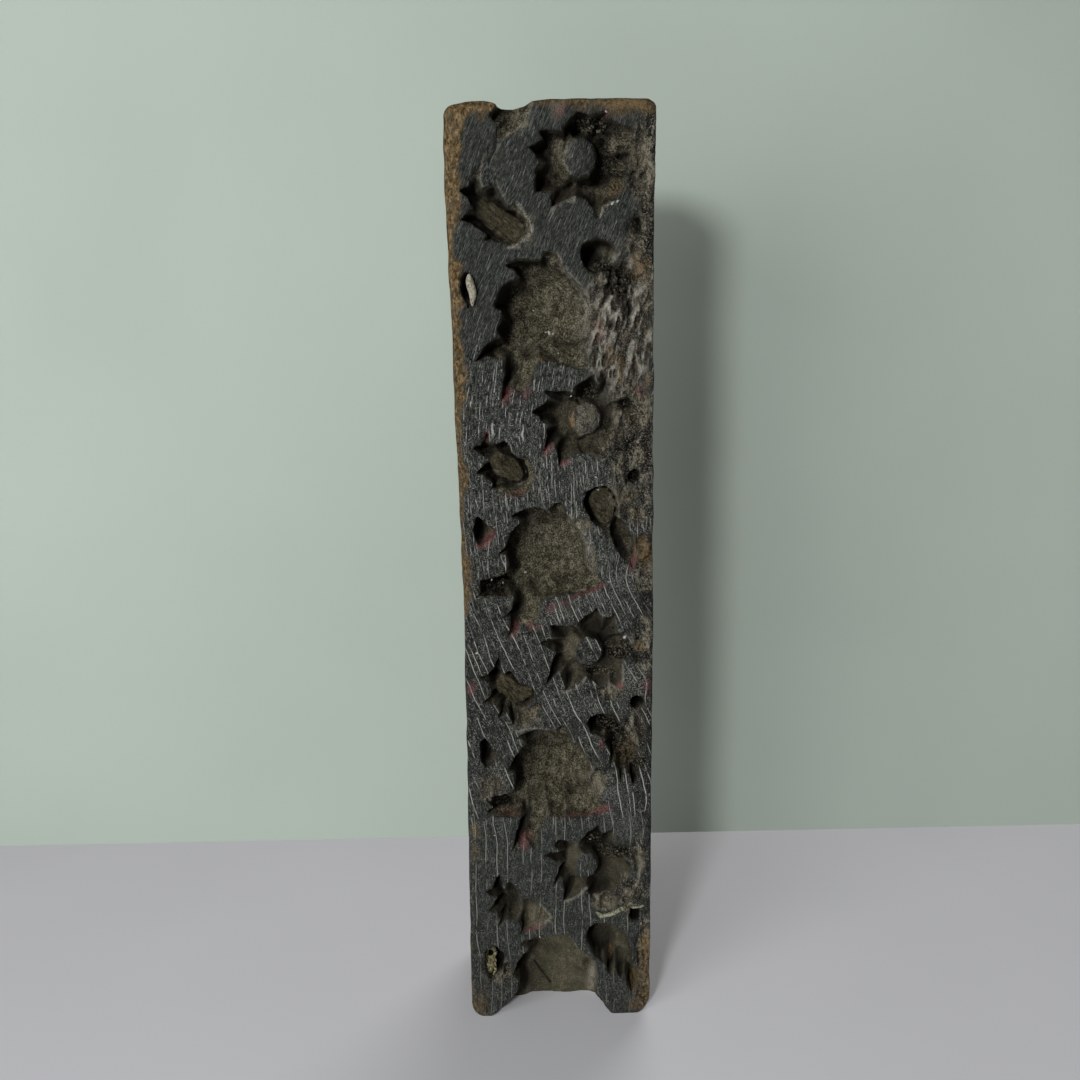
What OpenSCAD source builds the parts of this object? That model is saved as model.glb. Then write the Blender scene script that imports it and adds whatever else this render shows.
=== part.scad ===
// Hand-printing block for cloth borders: a carved hardwood block with a nailed-on grip.
// It stands on one end, +Z along its length, with the printing face towards -Y.
// The origin is at the middle of the whole object's depth and width, on the standing end.

/* [Block] */
// Width of the printing face
block_w = 50; // [49:0.5:60]
// Thickness of the block from printing face to back
block_t = 36; // [32:1:50]
// Length of the block
block_l = 242; // [210:1:310]
// Rounding of the corners seen from the front
corner_r = 3; // [1:0.5:5]
// Rounding of the long edges
edge_r = 1.5; // [0.5:0.25:3]

/* [Border repeat] */
// Length of one repeat of the carved border
pitch = 60.6; // [59:0.2:68]
// Height of the lowest flower's eye above the standing end
first_eye = 46.3; // [44:0.1:48]

/* [Flower] */
// Distance of the flower's eye from the right edge
flower_edge = 17; // [16.5:0.5:20]
// Radius of the eye that stands up to the printing face
eye_r = 3.7; // [2.5:0.1:5]
// Radius of the round hollow inside the petals
flower_core_r = 8.2; // [7:0.1:10]
// Distance from the eye's centre to a petal's tip
petal_reach = 12.5; // [11:0.25:13]
// Width of one petal blade
petal_w = 6; // [4:0.5:8]
// Number of petals, each notched into two blades
petals = 5; // [4:1:6]
// Half the angle between the two blades of one petal
petal_split = 14; // [10:1:18]
// Direction of the first petal, from +X
petal_turn = 8; // [0:1:20]
// Depth of the flower's hollow
flower_depth = 9; // [6:0.5:12]

/* [Bloom] */
// Distance of the bloom's centre from the left edge
bloom_edge = 23; // [22:0.5:25]
// Drop of the bloom's centre below the flower's eye
bloom_drop = 33; // [31:0.5:35]
// Radius of the bloom's upper round
bloom_r = 11; // [9:0.5:12]
// Radius of the bloom's lower round
belly_r = 9.5; // [8:0.5:11]
// Drop of the lower round's centre below the bloom's centre
belly_drop = 6; // [4:0.5:8]
// Radius of the two lobes on the bloom's crown
lobe_r = 3.5; // [2.5:0.25:4]
// Half the distance between the two lobes
lobe_spread = 3.5; // [2.5:0.25:5]
// Height of the lobes' centres above the bloom's centre
lobe_rise = 8.3; // [7:0.1:10]
// Depth of the bloom's hollow
bloom_depth = 11; // [8:0.5:14]

/* [Worn foot] */
// Distance of the arch's left foot from the left edge, at the standing end
arch_left = 5.5; // [4:0.5:8]
// Distance of the arch's right foot from the right edge, at the standing end
arch_right = 8; // [6:0.5:10]
// Run of the arch's slope on each side
arch_slope = 7; // [5:0.5:8]
// Height of the arch's slope
arch_rise = 8; // [6:0.5:10]

/* [Leaf] */
// Distance of the leaf's centre from the left edge
leaf_edge = 13; // [12.5:0.5:15]
// Drop of the leaf's centre below the flower's eye
leaf_drop = 12; // [11:0.5:13]
// Radius of the leaf's heart
leaf_r = 4.8; // [4:0.2:6]
// Depth of the leaf's hollow
leaf_depth = 8; // [5:0.5:12]

/* [Bud] */
// Distance of the bud's round head from the right edge
bud_edge = 13; // [12.5:0.5:15]
// Drop of the bud's head below the flower's eye
bud_drop = 21.5; // [20:0.5:23]
// Radius of the bud's head
bud_r = 4.2; // [3:0.2:5]
// Depth of the bud's hollow
bud_depth = 10; // [6:0.5:13]

/* [Almond] */
// Distance of the almond's centre from the left edge
almond_edge = 6; // [5.5:0.5:8]
// Drop of the almond's centre below the flower's eye
almond_drop = 28.5; // [27:0.5:30]
// Length of the almond
almond_l = 9.5; // [6:0.5:11]
// Width of the almond
almond_w = 4.6; // [3:0.2:6]
// Lean of the almond from the block's length
almond_lean = 6; // [-15:1:15]
// Depth of the almond's hollow
almond_depth = 7; // [4:0.5:12]

/* [Dot] */
// Distance of the drilled dot's centre from the right edge
dot_edge = 4; // [3.5:0.25:6]
// Drop of the dot below the flower's eye
dot_drop = 15; // [14:0.5:17]
// Radius of the drilled dot
dot_r = 1.9; // [1:0.1:2.5]
// Depth of the drilled dot
dot_depth = 8; // [4:0.5:12]

/* [Handle] */
// Length of the handle over both feet
handle_l = 176; // [160:1:196]
// Height of the handle from its seat to its crown
handle_h = 27; // [24:0.5:36]
// Length of each nailed foot
foot_l = 24; // [23:0.5:30]
// Width of the feet
foot_w = 30; // [27:0.5:36]
// Height of the feet
foot_h = 10; // [7:0.5:11]
// Rounding of the feet's corners
foot_r = 4; // [2:0.5:6]
// Width of the grip
grip_w = 26; // [22:0.5:27]
// Radius of the sweep from a foot up to the grip
sweep_r = 7; // [4:0.5:7]
// Rounding of the grip's ends at the crown
grip_end_r = 9; // [5:0.5:12]
// Radius across the crown of the grip
crown_r = 20; // [15:0.5:40]
// Radius of the finger flute along each side
flute_r = 8; // [6:0.5:9]
// Depth of the finger flutes
flute_in = 3; // [1:0.25:4]
// Height of the flutes' middle above the seat
flute_h = 17.5; // [17:0.25:18.5]
// Depth of the housing in the block's back
housing_depth = 3; // [1:0.5:5]
// Clearance round the handle in its housing
housing_clear = 0.2; // [0.1:0.05:0.5]

/* [Nails] */
// Radius of a nail's shank
nail_r = 1.6; // [1:0.1:2]
// Radius of a nail's head
nail_head_r = 3.2; // [2.5:0.1:3.5]
// Height of a nail's domed head
nail_head_h = 1.6; // [1:0.1:2.4]
// How far a nail goes into the block below the handle's seat
nail_bite = 14; // [8:0.5:16]
// Length of a nail's point
nail_point = 4; // [2:0.5:6]
// Radial clearance of a nail in its hole
nail_fit = 0.05; // [0.02:0.01:0.1]
// Distance of the nails from the feet's side edges
nail_edge = 7; // [5:0.5:8]
// Distance of a foot's outer nail from the handle's end
nail_end = 7; // [6:0.5:7.5]
// How much further in the foot's other nail stands, so that the grain doesn't split
nail_stagger = 5.5; // [3:0.5:6]

/* [Hidden] */
$fn = 64;
// How far a cutter runs past the face that it opens
past = 1;
// Distance from a motif's centre to where its blades start
heel = 1;

handle_rise = handle_h - housing_depth;
depth_all = block_t + handle_rise;
face_y = -depth_all / 2;
back_y = face_y + block_t;
seat_y = back_y - housing_depth;
foot_top_y = seat_y + foot_h;
handle_z = block_l / 2;

left_x = -block_w / 2;
right_x = block_w / 2;
flower_x = right_x - flower_edge;
bloom_x = left_x + bloom_edge;
leaf_x = left_x + leaf_edge;
bud_x = right_x - bud_edge;
almond_x = left_x + almond_edge;
dot_x = right_x - dot_edge;

// Eyes of every repeat that reaches the block, from below the standing end to above the other
eyes = [for (k = [-1 : ceil(block_l / pitch)]) first_eye + k * pitch];

// Blades round a motif's centre: direction from +X in degrees, distance of the tip, width
petal_blades = [
    for (i = [0 : petals - 1], side = [-1, 1])
        [petal_turn + i * 360 / petals + side * petal_split, petal_reach, petal_w]
];
bloom_blades = [
    [138, 13.5, 7],
    [161, 12.6, 5],
    [183, 12.2, 5],
    [213, 21, 7],
    [246, 26, 7],
    [257, 24, 7],
    [325, 20.5, 8]
];
leaf_blades = [
    [114, 10.2, 4.4],
    [149, 10, 4.4],
    [192, 7.6, 4.4],
    [238, 8.6, 4.4],
    [274, 9.6, 5],
    [352, 8.2, 7]
];
bud_blades = [
    [281, 13, 5],
    [290, 15.5, 5.5],
    [298, 19, 5.5]
];

// Each nail by name: which side of the handle, which foot, and whether it is the foot's inner one
nail_places = [
    ["upper_left_nail", -1, 1, 0],
    ["upper_right_nail", 1, 1, 1],
    ["lower_left_nail", -1, -1, 1],
    ["lower_right_nail", 1, -1, 0]
];

// Rectangle with round corners, centred
module round_rect(w, h, r) {
    square([w - 2 * r, h], center = true);
    square([w, h - 2 * r], center = true);
    for (x = [-1, 1], y = [-1, 1])
        translate([x * (w / 2 - r), y * (h / 2 - r)]) circle(r);
}

// Pointed blade along X from the origin, between two arcs that meet at its ends
module blade(length, width) {
    arc_r = (length * length + width * width) / (4 * width);
    intersection() {
        translate([length / 2, arc_r - width / 2]) circle(arc_r);
        translate([length / 2, width / 2 - arc_r]) circle(arc_r);
    }
}

// Blades that spread from a motif's centre to their tips
module blades(list) {
    for (b = list) rotate(b[0]) translate([heel, 0]) blade(b[1] - heel, b[2]);
}

// Outlines of the carved motifs, seen from the front with X to the right and the block's length up
module flower_outline() {
    difference() {
        union() {
            circle(flower_core_r);
            blades(petal_blades);
        }
        circle(eye_r);
    }
}

module bloom_outline() {
    circle(bloom_r);
    translate([0, -belly_drop]) circle(belly_r);
    for (side = [-1, 1]) translate([side * lobe_spread, lobe_rise]) circle(lobe_r);
    blades(bloom_blades);
}

// Opening worn between two feet where the standing end cuts through a bloom
module arch_outline() {
    polygon([
        [left_x + arch_left, -past],
        [left_x + arch_left, 0],
        [left_x + arch_left + arch_slope, arch_rise],
        [right_x - arch_right - arch_slope, arch_rise],
        [right_x - arch_right, 0],
        [right_x - arch_right, -past]
    ]);
}

module leaf_outline() {
    circle(leaf_r);
    blades(leaf_blades);
}

module bud_outline() {
    circle(bud_r);
    blades(bud_blades);
}

module almond_outline() {
    rotate(90 + almond_lean) translate([-almond_l / 2, 0]) blade(almond_l, almond_w);
}

// A hollow of one outline, cut into the printing face with its middle at x, z
module hollow(x, z, depth) {
    translate([x, face_y + depth, z]) rotate([90, 0, 0]) linear_extrude(depth + past) children();
}

// The same hollow in each repeat, at a drop below the flower's eye
module hollows(x, drop, depth) {
    for (eye_z = eyes) hollow(x, eye_z - drop, depth) children();
}

module block_blank() {
    intersection() {
        translate([0, face_y + block_t / 2, 0]) linear_extrude(block_l) round_rect(block_w, block_t, edge_r);
        translate([0, back_y, block_l / 2]) rotate([90, 0, 0]) linear_extrude(block_t)
            round_rect(block_w, block_l, corner_r);
    }
}

// Where a nail stands on the handle, as X and Z
function nail_x(n) = n[1] * (foot_w / 2 - nail_edge);
function nail_z(n) = handle_z + n[2] * (handle_l / 2 - nail_end - n[3] * nail_stagger);

// A round hole or shank along Y, from y0 to y1
module along_y(x, z, y0, y1, r) {
    translate([x, y1, z]) rotate([90, 0, 0]) cylinder(h = y1 - y0, r = r);
}

module printing_block() {
    color("#3a3a3c") difference() {
        block_blank();
        hollows(flower_x, 0, flower_depth) flower_outline();
        hollows(bloom_x, bloom_drop, bloom_depth) bloom_outline();
        hollow(0, 0, bloom_depth) arch_outline();
        hollows(leaf_x, leaf_drop, leaf_depth) leaf_outline();
        hollows(bud_x, bud_drop, bud_depth) bud_outline();
        hollows(almond_x, almond_drop, almond_depth) almond_outline();
        hollows(dot_x, dot_drop, dot_depth) circle(dot_r);
        translate([0, back_y + past, handle_z]) rotate([90, 0, 0]) linear_extrude(housing_depth + past)
            round_rect(foot_w + 2 * housing_clear, handle_l + 2 * housing_clear, foot_r + housing_clear);
        for (n = nail_places)
            along_y(nail_x(n), nail_z(n), seat_y - nail_bite - nail_fit, back_y, nail_r + nail_fit);
    }
}

// Cross-section of the handle: X across, Y up from the seat
module handle_section() {
    translate([-foot_w / 2, 0]) square([foot_w, foot_h]);
    difference() {
        intersection() {
            translate([-grip_w / 2, 0]) square([grip_w, handle_h]);
            translate([0, handle_h - crown_r]) circle(crown_r);
        }
        for (side = [-1, 1]) translate([side * (grip_w / 2 + flute_r - flute_in), flute_h]) circle(flute_r);
    }
}

// Side view of the handle: X up from the seat, Y along the block's length
module handle_side() {
    grip_l = handle_l - 2 * foot_l;
    translate([0, -handle_l / 2]) square([foot_h, handle_l]);
    translate([0, -grip_l / 2]) square([handle_h - grip_end_r, grip_l]);
    translate([0, grip_end_r - grip_l / 2]) square([handle_h, grip_l - 2 * grip_end_r]);
    for (end = [-1, 1]) {
        translate([handle_h - grip_end_r, end * (grip_l / 2 - grip_end_r)]) circle(grip_end_r);
        difference() {
            translate([0, end * grip_l / 2 - sweep_r * (1 - end) / 2]) square([foot_h + sweep_r, sweep_r]);
            translate([foot_h + sweep_r, end * (grip_l / 2 + sweep_r)]) circle(sweep_r);
        }
    }
}

module handle() {
    color("#6b4a2c") difference() {
        intersection() {
            translate([0, seat_y, handle_z - handle_l / 2]) linear_extrude(handle_l) handle_section();
            translate([-foot_w / 2, seat_y, handle_z]) rotate([90, 0, 90]) linear_extrude(foot_w) handle_side();
            translate([0, seat_y + handle_h, handle_z]) rotate([90, 0, 0]) linear_extrude(handle_h)
                round_rect(foot_w, handle_l, foot_r);
        }
        for (n = nail_places)
            along_y(nail_x(n), nail_z(n), seat_y - past, foot_top_y + past, nail_r + nail_fit);
    }
}

// A nail, pointing along -Z below its head's underside
module nail_shape() {
    shank_l = foot_h + nail_bite - nail_point;
    dome_r = (nail_head_r * nail_head_r + nail_head_h * nail_head_h) / (2 * nail_head_h);
    intersection() {
        translate([0, 0, nail_head_h - dome_r]) sphere(dome_r);
        cylinder(h = nail_head_h, r = nail_head_r);
    }
    translate([0, 0, -shank_l]) cylinder(h = shank_l, r = nail_r);
    translate([0, 0, -shank_l - nail_point]) cylinder(h = nail_point, r1 = nail_r / 8, r2 = nail_r);
}

module nail(n) {
    color("#4a3b34") translate([nail_x(n), foot_top_y, nail_z(n)]) rotate([-90, 0, 0]) nail_shape();
}

printing_block();
handle();
for (n = nail_places) nail(n);
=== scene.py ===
"""The carved textile printing block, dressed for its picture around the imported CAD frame.

Carving is worked out in millimetres in the printing face's own frame: x to the right from the face's left
edge, z up from the standing end, and d inwards from the face. Everything placed in the scene is in metres, in
the CAD's frame.
"""

import math

import bpy
import numpy as np
import openvdb
from mathutils import Matrix, Vector


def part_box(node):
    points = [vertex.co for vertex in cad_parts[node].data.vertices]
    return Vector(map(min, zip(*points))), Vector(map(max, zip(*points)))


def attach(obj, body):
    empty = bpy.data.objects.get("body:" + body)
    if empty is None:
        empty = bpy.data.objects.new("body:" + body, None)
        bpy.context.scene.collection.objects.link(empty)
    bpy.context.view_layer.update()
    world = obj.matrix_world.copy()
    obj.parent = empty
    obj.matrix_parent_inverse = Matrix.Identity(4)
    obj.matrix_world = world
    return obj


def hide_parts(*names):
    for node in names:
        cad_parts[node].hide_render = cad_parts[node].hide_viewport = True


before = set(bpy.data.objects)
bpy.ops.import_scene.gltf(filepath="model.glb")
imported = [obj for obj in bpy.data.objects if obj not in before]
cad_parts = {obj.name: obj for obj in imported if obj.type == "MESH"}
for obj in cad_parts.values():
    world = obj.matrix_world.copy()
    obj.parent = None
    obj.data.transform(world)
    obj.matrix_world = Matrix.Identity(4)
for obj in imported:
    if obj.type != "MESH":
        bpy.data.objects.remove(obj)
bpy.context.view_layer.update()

MM = 0.001
block_low, block_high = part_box("printing_block")
LEFT_X, FACE_Y = block_low.x, block_low.y
BLOCK_W = (block_high.x - block_low.x) / MM
BLOCK_T = (block_high.y - block_low.y) / MM
BLOCK_L = (block_high.z - block_low.z) / MM

# The photograph's eye, in metres in the scene and in millimetres in the face's frame
CAMERA_AT = (-0.0064, FACE_Y - 0.2691, 0.1936)
EYE_X, EYE_D, EYE_Z = (CAMERA_AT[0] - LEFT_X) / MM, (FACE_Y - CAMERA_AT[1]) / MM, CAMERA_AT[2] / MM


# Small tools

FAR_OFF = 1e6
RELIEF_SOFT = 1.2


def smoothstep(low, high, value):
    t = np.clip((value - low) / (high - low), 0, 1)
    return t * t * (3 - 2 * t)


def soft_max(a, b, k):
    """The larger of a and b, rounded where they meet, over a width of k."""
    near = np.maximum(k - np.abs(a - b), 0) / k
    return np.maximum(a, b) + near * near * (k / 4)


def soft_min(a, b, k):
    return -soft_max(-a, -b, k)


def lattice(counts, steps_per_cell, rng):
    """Smooth noise from -1 to 1 on a regular grid, with a random value every few steps along each axis."""
    cells = [int(n / s) + 2 for n, s in zip(counts, steps_per_cell)]
    field = rng.uniform(-1, 1, cells).astype(np.float32)
    for axis, (n, s) in enumerate(zip(counts, steps_per_cell)):
        at = np.arange(n) / s
        low = at.astype(int)
        t = (at - low).astype(np.float32)
        shape = [1] * len(counts)
        shape[axis] = n
        t = (t * t * (3 - 2 * t)).reshape(shape)
        field = field.take(low, axis) * (1 - t) + field.take(low + 1, axis) * t
    return field


def rounded_box(u, v, radius):
    """Distance to a box with round corners; u and v run outwards from the middle of a corner's round."""
    return np.hypot(np.maximum(u, 0), np.maximum(v, 0)) + np.minimum(np.maximum(u, v), 0) - radius


def to_segment(x, z, a, b):
    """How far from a to b each point lies, as a share of the way, and its distance from that line."""
    ex, ez = b[0] - a[0], b[1] - a[1]
    t = np.clip(((x - a[0]) * ex + (z - a[1]) * ez) / (ex * ex + ez * ez), 0, 1)
    return t, np.hypot(x - a[0] - t * ex, z - a[1] - t * ez)


def polygon(x, z, points):
    """Distance to a closed outline, negative inside it."""
    nearest = np.full(np.broadcast(x, z).shape, FAR_OFF)
    inside = np.zeros(nearest.shape, bool)
    for a, b in zip(points, points[1:] + points[:1]):
        nearest = np.minimum(nearest, to_segment(x, z, a, b)[1])
        if a[1] != b[1]:
            crossing = a[0] + (z - a[1]) * (b[0] - a[0]) / (b[1] - a[1])
            inside ^= ((a[1] > z) != (b[1] > z)) & (x < crossing)
    return np.where(inside, -nearest, nearest)


def relief(x, z, points):
    """Depths blended from a few (x, z, depth) points."""
    total = weight = 0
    for px, pz, depth in points:
        w = 1 / ((x - px) ** 2 + (z - pz) ** 2 + RELIEF_SOFT) ** 2
        total, weight = total + w * depth, weight + w
    return total / weight


# The carver's hollows: each outline on the face, then depths across its floor

HOLLOWS = {
    "top_gouge": ([(12.6, 244), (12.4, 241), (10.5, 239), (11.6, 237.6), (13.4, 237.4), (12.3, 235.4),
        (11.6, 233.4), (12.6, 232.8), (15, 234.3), (17.5, 235.4), (19.3, 237), (20.3, 239.5), (21, 244)],
        [(12.5, 239.5, 4.5), (14, 241.5, 5.5), (13.8, 238.2, 4), (16, 239.5, 4), (18.5, 240.5, 3), (15, 236, 2),
        (18.2, 237.3, 1.6), (12.3, 234, 1), (19.8, 239.5, 1.5), (17, 242, 5)]),
    "flower_1": ([(27.5, 235.4), (29.3, 237.6), (31.6, 239.4), (33.2, 239.2), (34.6, 238.3), (36.4, 239),
        (38.4, 239.7), (38.8, 237.8), (41, 236.8), (44, 235.8), (45.8, 233), (45.6, 229.5), (46.5, 226.5),
        (44.5, 223.5), (42.5, 221), (41.2, 219.4), (39.3, 219), (37.4, 217.6), (36.5, 214.9), (35.4, 217),
        (33.6, 219.2), (30.8, 220.3), (28, 219.3), (25.2, 217.7), (25, 221.1), (21.2, 221.2), (21.6, 224),
        (21.3, 226.8), (22.6, 228.2), (21.8, 230), (19.7, 231.6), (22, 232.7), (23.4, 233.8), (22.4, 235.3),
        (24.5, 235.5)], [(22, 232, 11), (23.5, 234.5, 10), (23, 224, 10.5), (26, 220, 6.5), (27, 230, 9),
        (30, 222, 7.5), (31, 237, 10), (35, 237.5, 10), (37.5, 231, 10.5), (36, 225.5, 10), (35, 221, 6),
        (36.6, 216, 2), (40.5, 229, 6.5), (40, 222, 3.2), (43, 224, 1.6), (45, 228, 1.2), (45, 233, 1),
        (41.5, 235.5, 3.5), (38.3, 238.8, 6)]),
    "flower_2": ([(19.4, 169.1), (22, 170.6), (23.9, 172.5), (22.7, 174.4), (26, 174.3), (29.6, 173.9),
        (30.4, 175.2), (32.6, 176.5), (35.5, 178.5), (36.4, 176.6), (38.6, 177.6), (40.4, 175), (40.6, 172.3),
        (42.6, 172), (45.2, 171.3), (44.6, 169.6), (42.5, 168.3), (43, 165.5), (42.5, 162), (41, 159.5),
        (38.2, 157), (35.3, 155.6), (33.6, 157.8), (31.5, 158.6), (29.5, 157.8), (26.2, 155.2), (25.6, 158.4),
        (24.9, 161), (22.3, 158.5), (23, 162), (23.3, 165.6), (21.4, 167.7)], [(21, 169.3, 6), (23.5, 173.6, 7),
        (24, 160.5, 7), (26.3, 157, 4), (28, 170, 8.5), (28, 163, 8.5), (32, 174.5, 8), (34.8, 177, 6),
        (37, 174, 6), (39, 170, 4.5), (43.5, 170.8, 5), (38, 166, 5), (36, 161, 3.5), (34.5, 157.5, 1),
        (40, 161, 1.2), (42.5, 164, 0.7), (41.5, 168, 1.6), (30, 160, 6)]),
    "flower_3": ([(20.2, 109), (22.4, 109.7), (24.2, 110.4), (23.3, 113.8), (26.5, 113.7), (30.2, 113.6),
        (31.3, 115), (33.4, 116.7), (35.6, 118.4), (37, 116.4), (38.6, 115.6), (40.5, 117), (41, 114),
        (41.6, 111.6), (44.4, 109.4), (45, 107.2), (44.2, 104.6), (42.8, 103.2), (42.7, 99.5), (42.5, 95.8),
        (41, 96.6), (39.6, 96.6), (38.2, 93.3), (37, 95.6), (35.2, 97.8), (32.6, 99.2), (31.2, 97.4), (29, 95.9),
        (26.7, 95.1), (26.6, 98), (25.8, 100.4), (24.2, 98.6), (22.2, 97.4), (23, 101), (23.9, 104), (24.4, 106.4),
        (22.8, 107.7)], [(21.5, 109, 4), (24, 112.5, 5), (23, 100, 5.5), (26.2, 99.5, 2.5), (28.5, 98.5, 5),
        (28, 110, 5), (27, 104, 6), (32, 113.5, 6), (35.3, 117, 4), (38, 113, 5), (40.3, 116, 2.5),
        (38.5, 107.5, 6), (43.5, 107, 3.5), (36, 101, 4.5), (38.6, 100, 2.4), (40.4, 99, 3.6), (41.9, 98, 1.6),
        (38.3, 95.5, 1.2), (33, 100.5, 4.5), (30.5, 97.8, 3), (27.3, 96.2, 3)]),
    "flower_4": ([(20.4, 48.7), (22.5, 49.6), (24.9, 50.1), (23.9, 51.6), (24.8, 53.1), (27, 53.1), (30, 52),
        (31.2, 54), (33.6, 55.9), (35.6, 57.4), (36.6, 55.7), (37.8, 55.2), (39.8, 56.4), (40.6, 54.4),
        (40.6, 51.8), (44.9, 51.1), (44.6, 49.2), (43.4, 47.4), (45.2, 45), (44.6, 41.5), (42.6, 38.4), (40, 36.6),
        (37, 36.2), (34, 36.1), (32.7, 37.4), (32.4, 38.8), (30.4, 36.6), (28.6, 35.7), (26, 34.7), (26.2, 38),
        (25.6, 41.5), (24.4, 40), (22.7, 38), (23.4, 41), (24.6, 44.4), (25.2, 46.2), (23.4, 47.4)], [(22, 48.7, 4),
        (25.5, 52, 5), (23.6, 40, 5.5), (26, 41, 2.5), (26.9, 37, 4), (27.5, 49, 5.5), (26.8, 44.5, 7),
        (31.5, 52, 6), (35, 56, 6), (37.5, 52.5, 6.5), (39.6, 55, 4), (43, 50, 5.5), (39, 47.5, 5), (36, 42, 6.5),
        (39, 41, 5), (42.5, 42.5, 2.5), (37, 38.5, 4), (34, 38.5, 6), (29.5, 38.5, 5), (31, 40, 6)]),
    "bloom_1": ([(22, 206), (23.4, 207.6), (25, 208), (26.6, 207.2), (27.4, 205.4), (28.5, 203), (30.5, 200.8),
        (33.2, 198.3), (34.7, 195), (34.5, 191), (33.4, 187.5), (34.5, 184.5), (35.5, 181), (34.2, 178.6),
        (31, 179.4), (27, 180.6), (23.5, 181.7), (21.8, 182), (20.6, 178.8), (19, 175), (17.3, 171.9),
        (16.4, 174.2), (15, 174.8), (14, 173.6), (12.2, 171.9), (12.6, 175.5), (13.1, 179), (12.5, 182.2),
        (9.3, 182.7), (5.4, 181.3), (8, 185), (9.5, 186.8), (11.9, 187.6), (11.4, 189.6), (12.9, 192.9),
        (12.6, 194), (11, 194.4), (11.8, 198.2), (13.3, 200), (16.8, 201.9), (15.2, 203.6), (13.2, 204.5),
        (16.4, 206.1), (19.5, 206)], [(17, 203, 10.5), (24.8, 206.6, 3.5), (22, 204.3, 8.5), (22, 198, 11),
        (15, 197, 11), (14, 190, 11), (22, 190, 11), (28, 196, 10), (31, 198, 7.5), (33, 194, 5), (32, 188, 6),
        (28, 187, 9), (20, 184, 10.5), (24, 183.5, 6), (28.5, 182.5, 3.2), (33, 181, 1.5), (33.5, 185, 2.5),
        (10, 185.5, 8), (7, 182.8, 4.5), (15, 179, 8.5), (13.5, 174.5, 4), (17.3, 174, 1.2), (18.5, 179, 3.5),
        (21, 181.5, 1.5)]),
    "bloom_2": ([(24, 145.2), (25, 146.2), (26.4, 146.4), (27.3, 145.2), (28.2, 143), (30.2, 140.9), (31.3, 139.3),
        (32.6, 136.6), (33.3, 133), (33.1, 129.5), (34.5, 127.8), (38.2, 125.4), (36, 123.2), (33, 122.3),
        (30.3, 121.6), (27, 121.5), (24.2, 121.2), (22.3, 120.6), (21.2, 117.5), (19.8, 114.2), (18.2, 111.2),
        (17.2, 113.2), (16.2, 113.6), (14.8, 112.3), (12.1, 110.4), (13, 113.6), (13.3, 116.2), (11.3, 115.6),
        (13.6, 118.5), (13.8, 121.2), (9.5, 121.8), (4.8, 121.6), (5.6, 124.2), (5.2, 126.3), (9.2, 127.2),
        (12.3, 127.9), (12.7, 130.6), (12.5, 132.8), (10.8, 133), (12.2, 135.2), (13, 137.8), (14.6, 139.7),
        (16.6, 141.3), (15.3, 142.4), (13.1, 142.5), (16, 143.9), (18.6, 145), (20.6, 145), (22.8, 144.3)],
        [(17, 142.5, 9.5), (14.5, 142.8, 5), (26, 145.2, 4), (23, 143, 9), (22, 138, 11), (16, 136, 11),
        (15, 131, 11), (23, 130, 11), (29, 136, 10), (31.5, 133, 6), (32, 128, 6), (27, 126, 8.5), (20, 124, 10.5),
        (24, 122.8, 5), (29, 123, 3.5), (34, 124.5, 2.2), (36.8, 125, 1.2), (11, 124.5, 10), (8, 124.3, 8),
        (6, 124, 5), (15.5, 119, 8), (13.6, 113.5, 4), (18, 114.5, 1.4), (18, 119, 4), (21.3, 119.5, 1.4)]),
    "bloom_3": ([(24.6, 85), (26, 86.1), (27.6, 85.8), (28.5, 84), (29.6, 81.2), (31.6, 79.6), (33.2, 77.2),
        (33.8, 74), (33.6, 70), (34.8, 67.6), (36, 65.8), (36.2, 64), (39.9, 63.3), (37, 61.2), (33, 60),
        (29, 59.6), (26, 60), (22.6, 60.3), (21, 58.5), (19.6, 54.8), (18.2, 50.8), (17, 53.4), (15.8, 53.8),
        (14.6, 52.2), (12.2, 49.8), (13, 53.5), (14, 57), (14.6, 60.2), (11, 60), (5.3, 61), (7, 63.6), (5.6, 66),
        (9.4, 66.6), (12.4, 67.4), (13.3, 69.6), (13.1, 72.8), (11.6, 73.2), (12.4, 75.6), (14, 78.2), (16.5, 81.2),
        (15.6, 82.5), (13.7, 82.6), (16.2, 84.1), (18.6, 85.1), (21.4, 85.1)], [(18, 83.5, 9), (15, 82.9, 4.5),
        (26.8, 84.8, 5), (22, 78, 11), (16, 76, 11), (14.6, 71, 11), (23, 70, 11), (29, 76, 10), (32, 74, 6),
        (33.8, 69, 4), (29, 66, 9), (20, 65, 10), (24, 63, 5.5), (21.8, 61.5, 3.5), (27, 61.5, 3.5),
        (31, 62.5, 4.5), (36, 63, 2), (38.6, 63, 1), (11, 64.5, 9), (8.5, 64.2, 7.5), (10, 61.3, 3.5), (6.6, 63, 4),
        (16, 59, 8), (14, 53.5, 5), (17.5, 53.5, 2), (18.6, 58, 4)]),
    "bloom_4": ([(13, 21.6), (15.4, 23.2), (18.4, 24.3), (22, 24.6), (25, 25), (27.8, 24.9), (28.8, 22.8),
        (30, 20.6), (33, 18), (34.7, 15.8), (35.2, 12), (35, 6), (37.5, 2.5), (41.5, -3), (4, -3), (7, 1.2),
        (10.5, 4.4), (12.8, 7.6), (13.4, 11), (11.4, 12.3), (13, 16.2), (14.8, 19.2), (16.6, 20.6), (15.8, 21.4)],
        [(18, 22.5, 9), (26, 23, 9), (22, 16, 11), (15.5, 15, 11), (30, 16, 10.5), (33.9, 10.5, 3), (33.8, 5.5, 4),
        (31.2, 12, 9), (31, 7, 10), (24, 8, 11), (16, 8, 11), (20, 2, 11), (32, 2, 11), (12, 3, 9)]),
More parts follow.
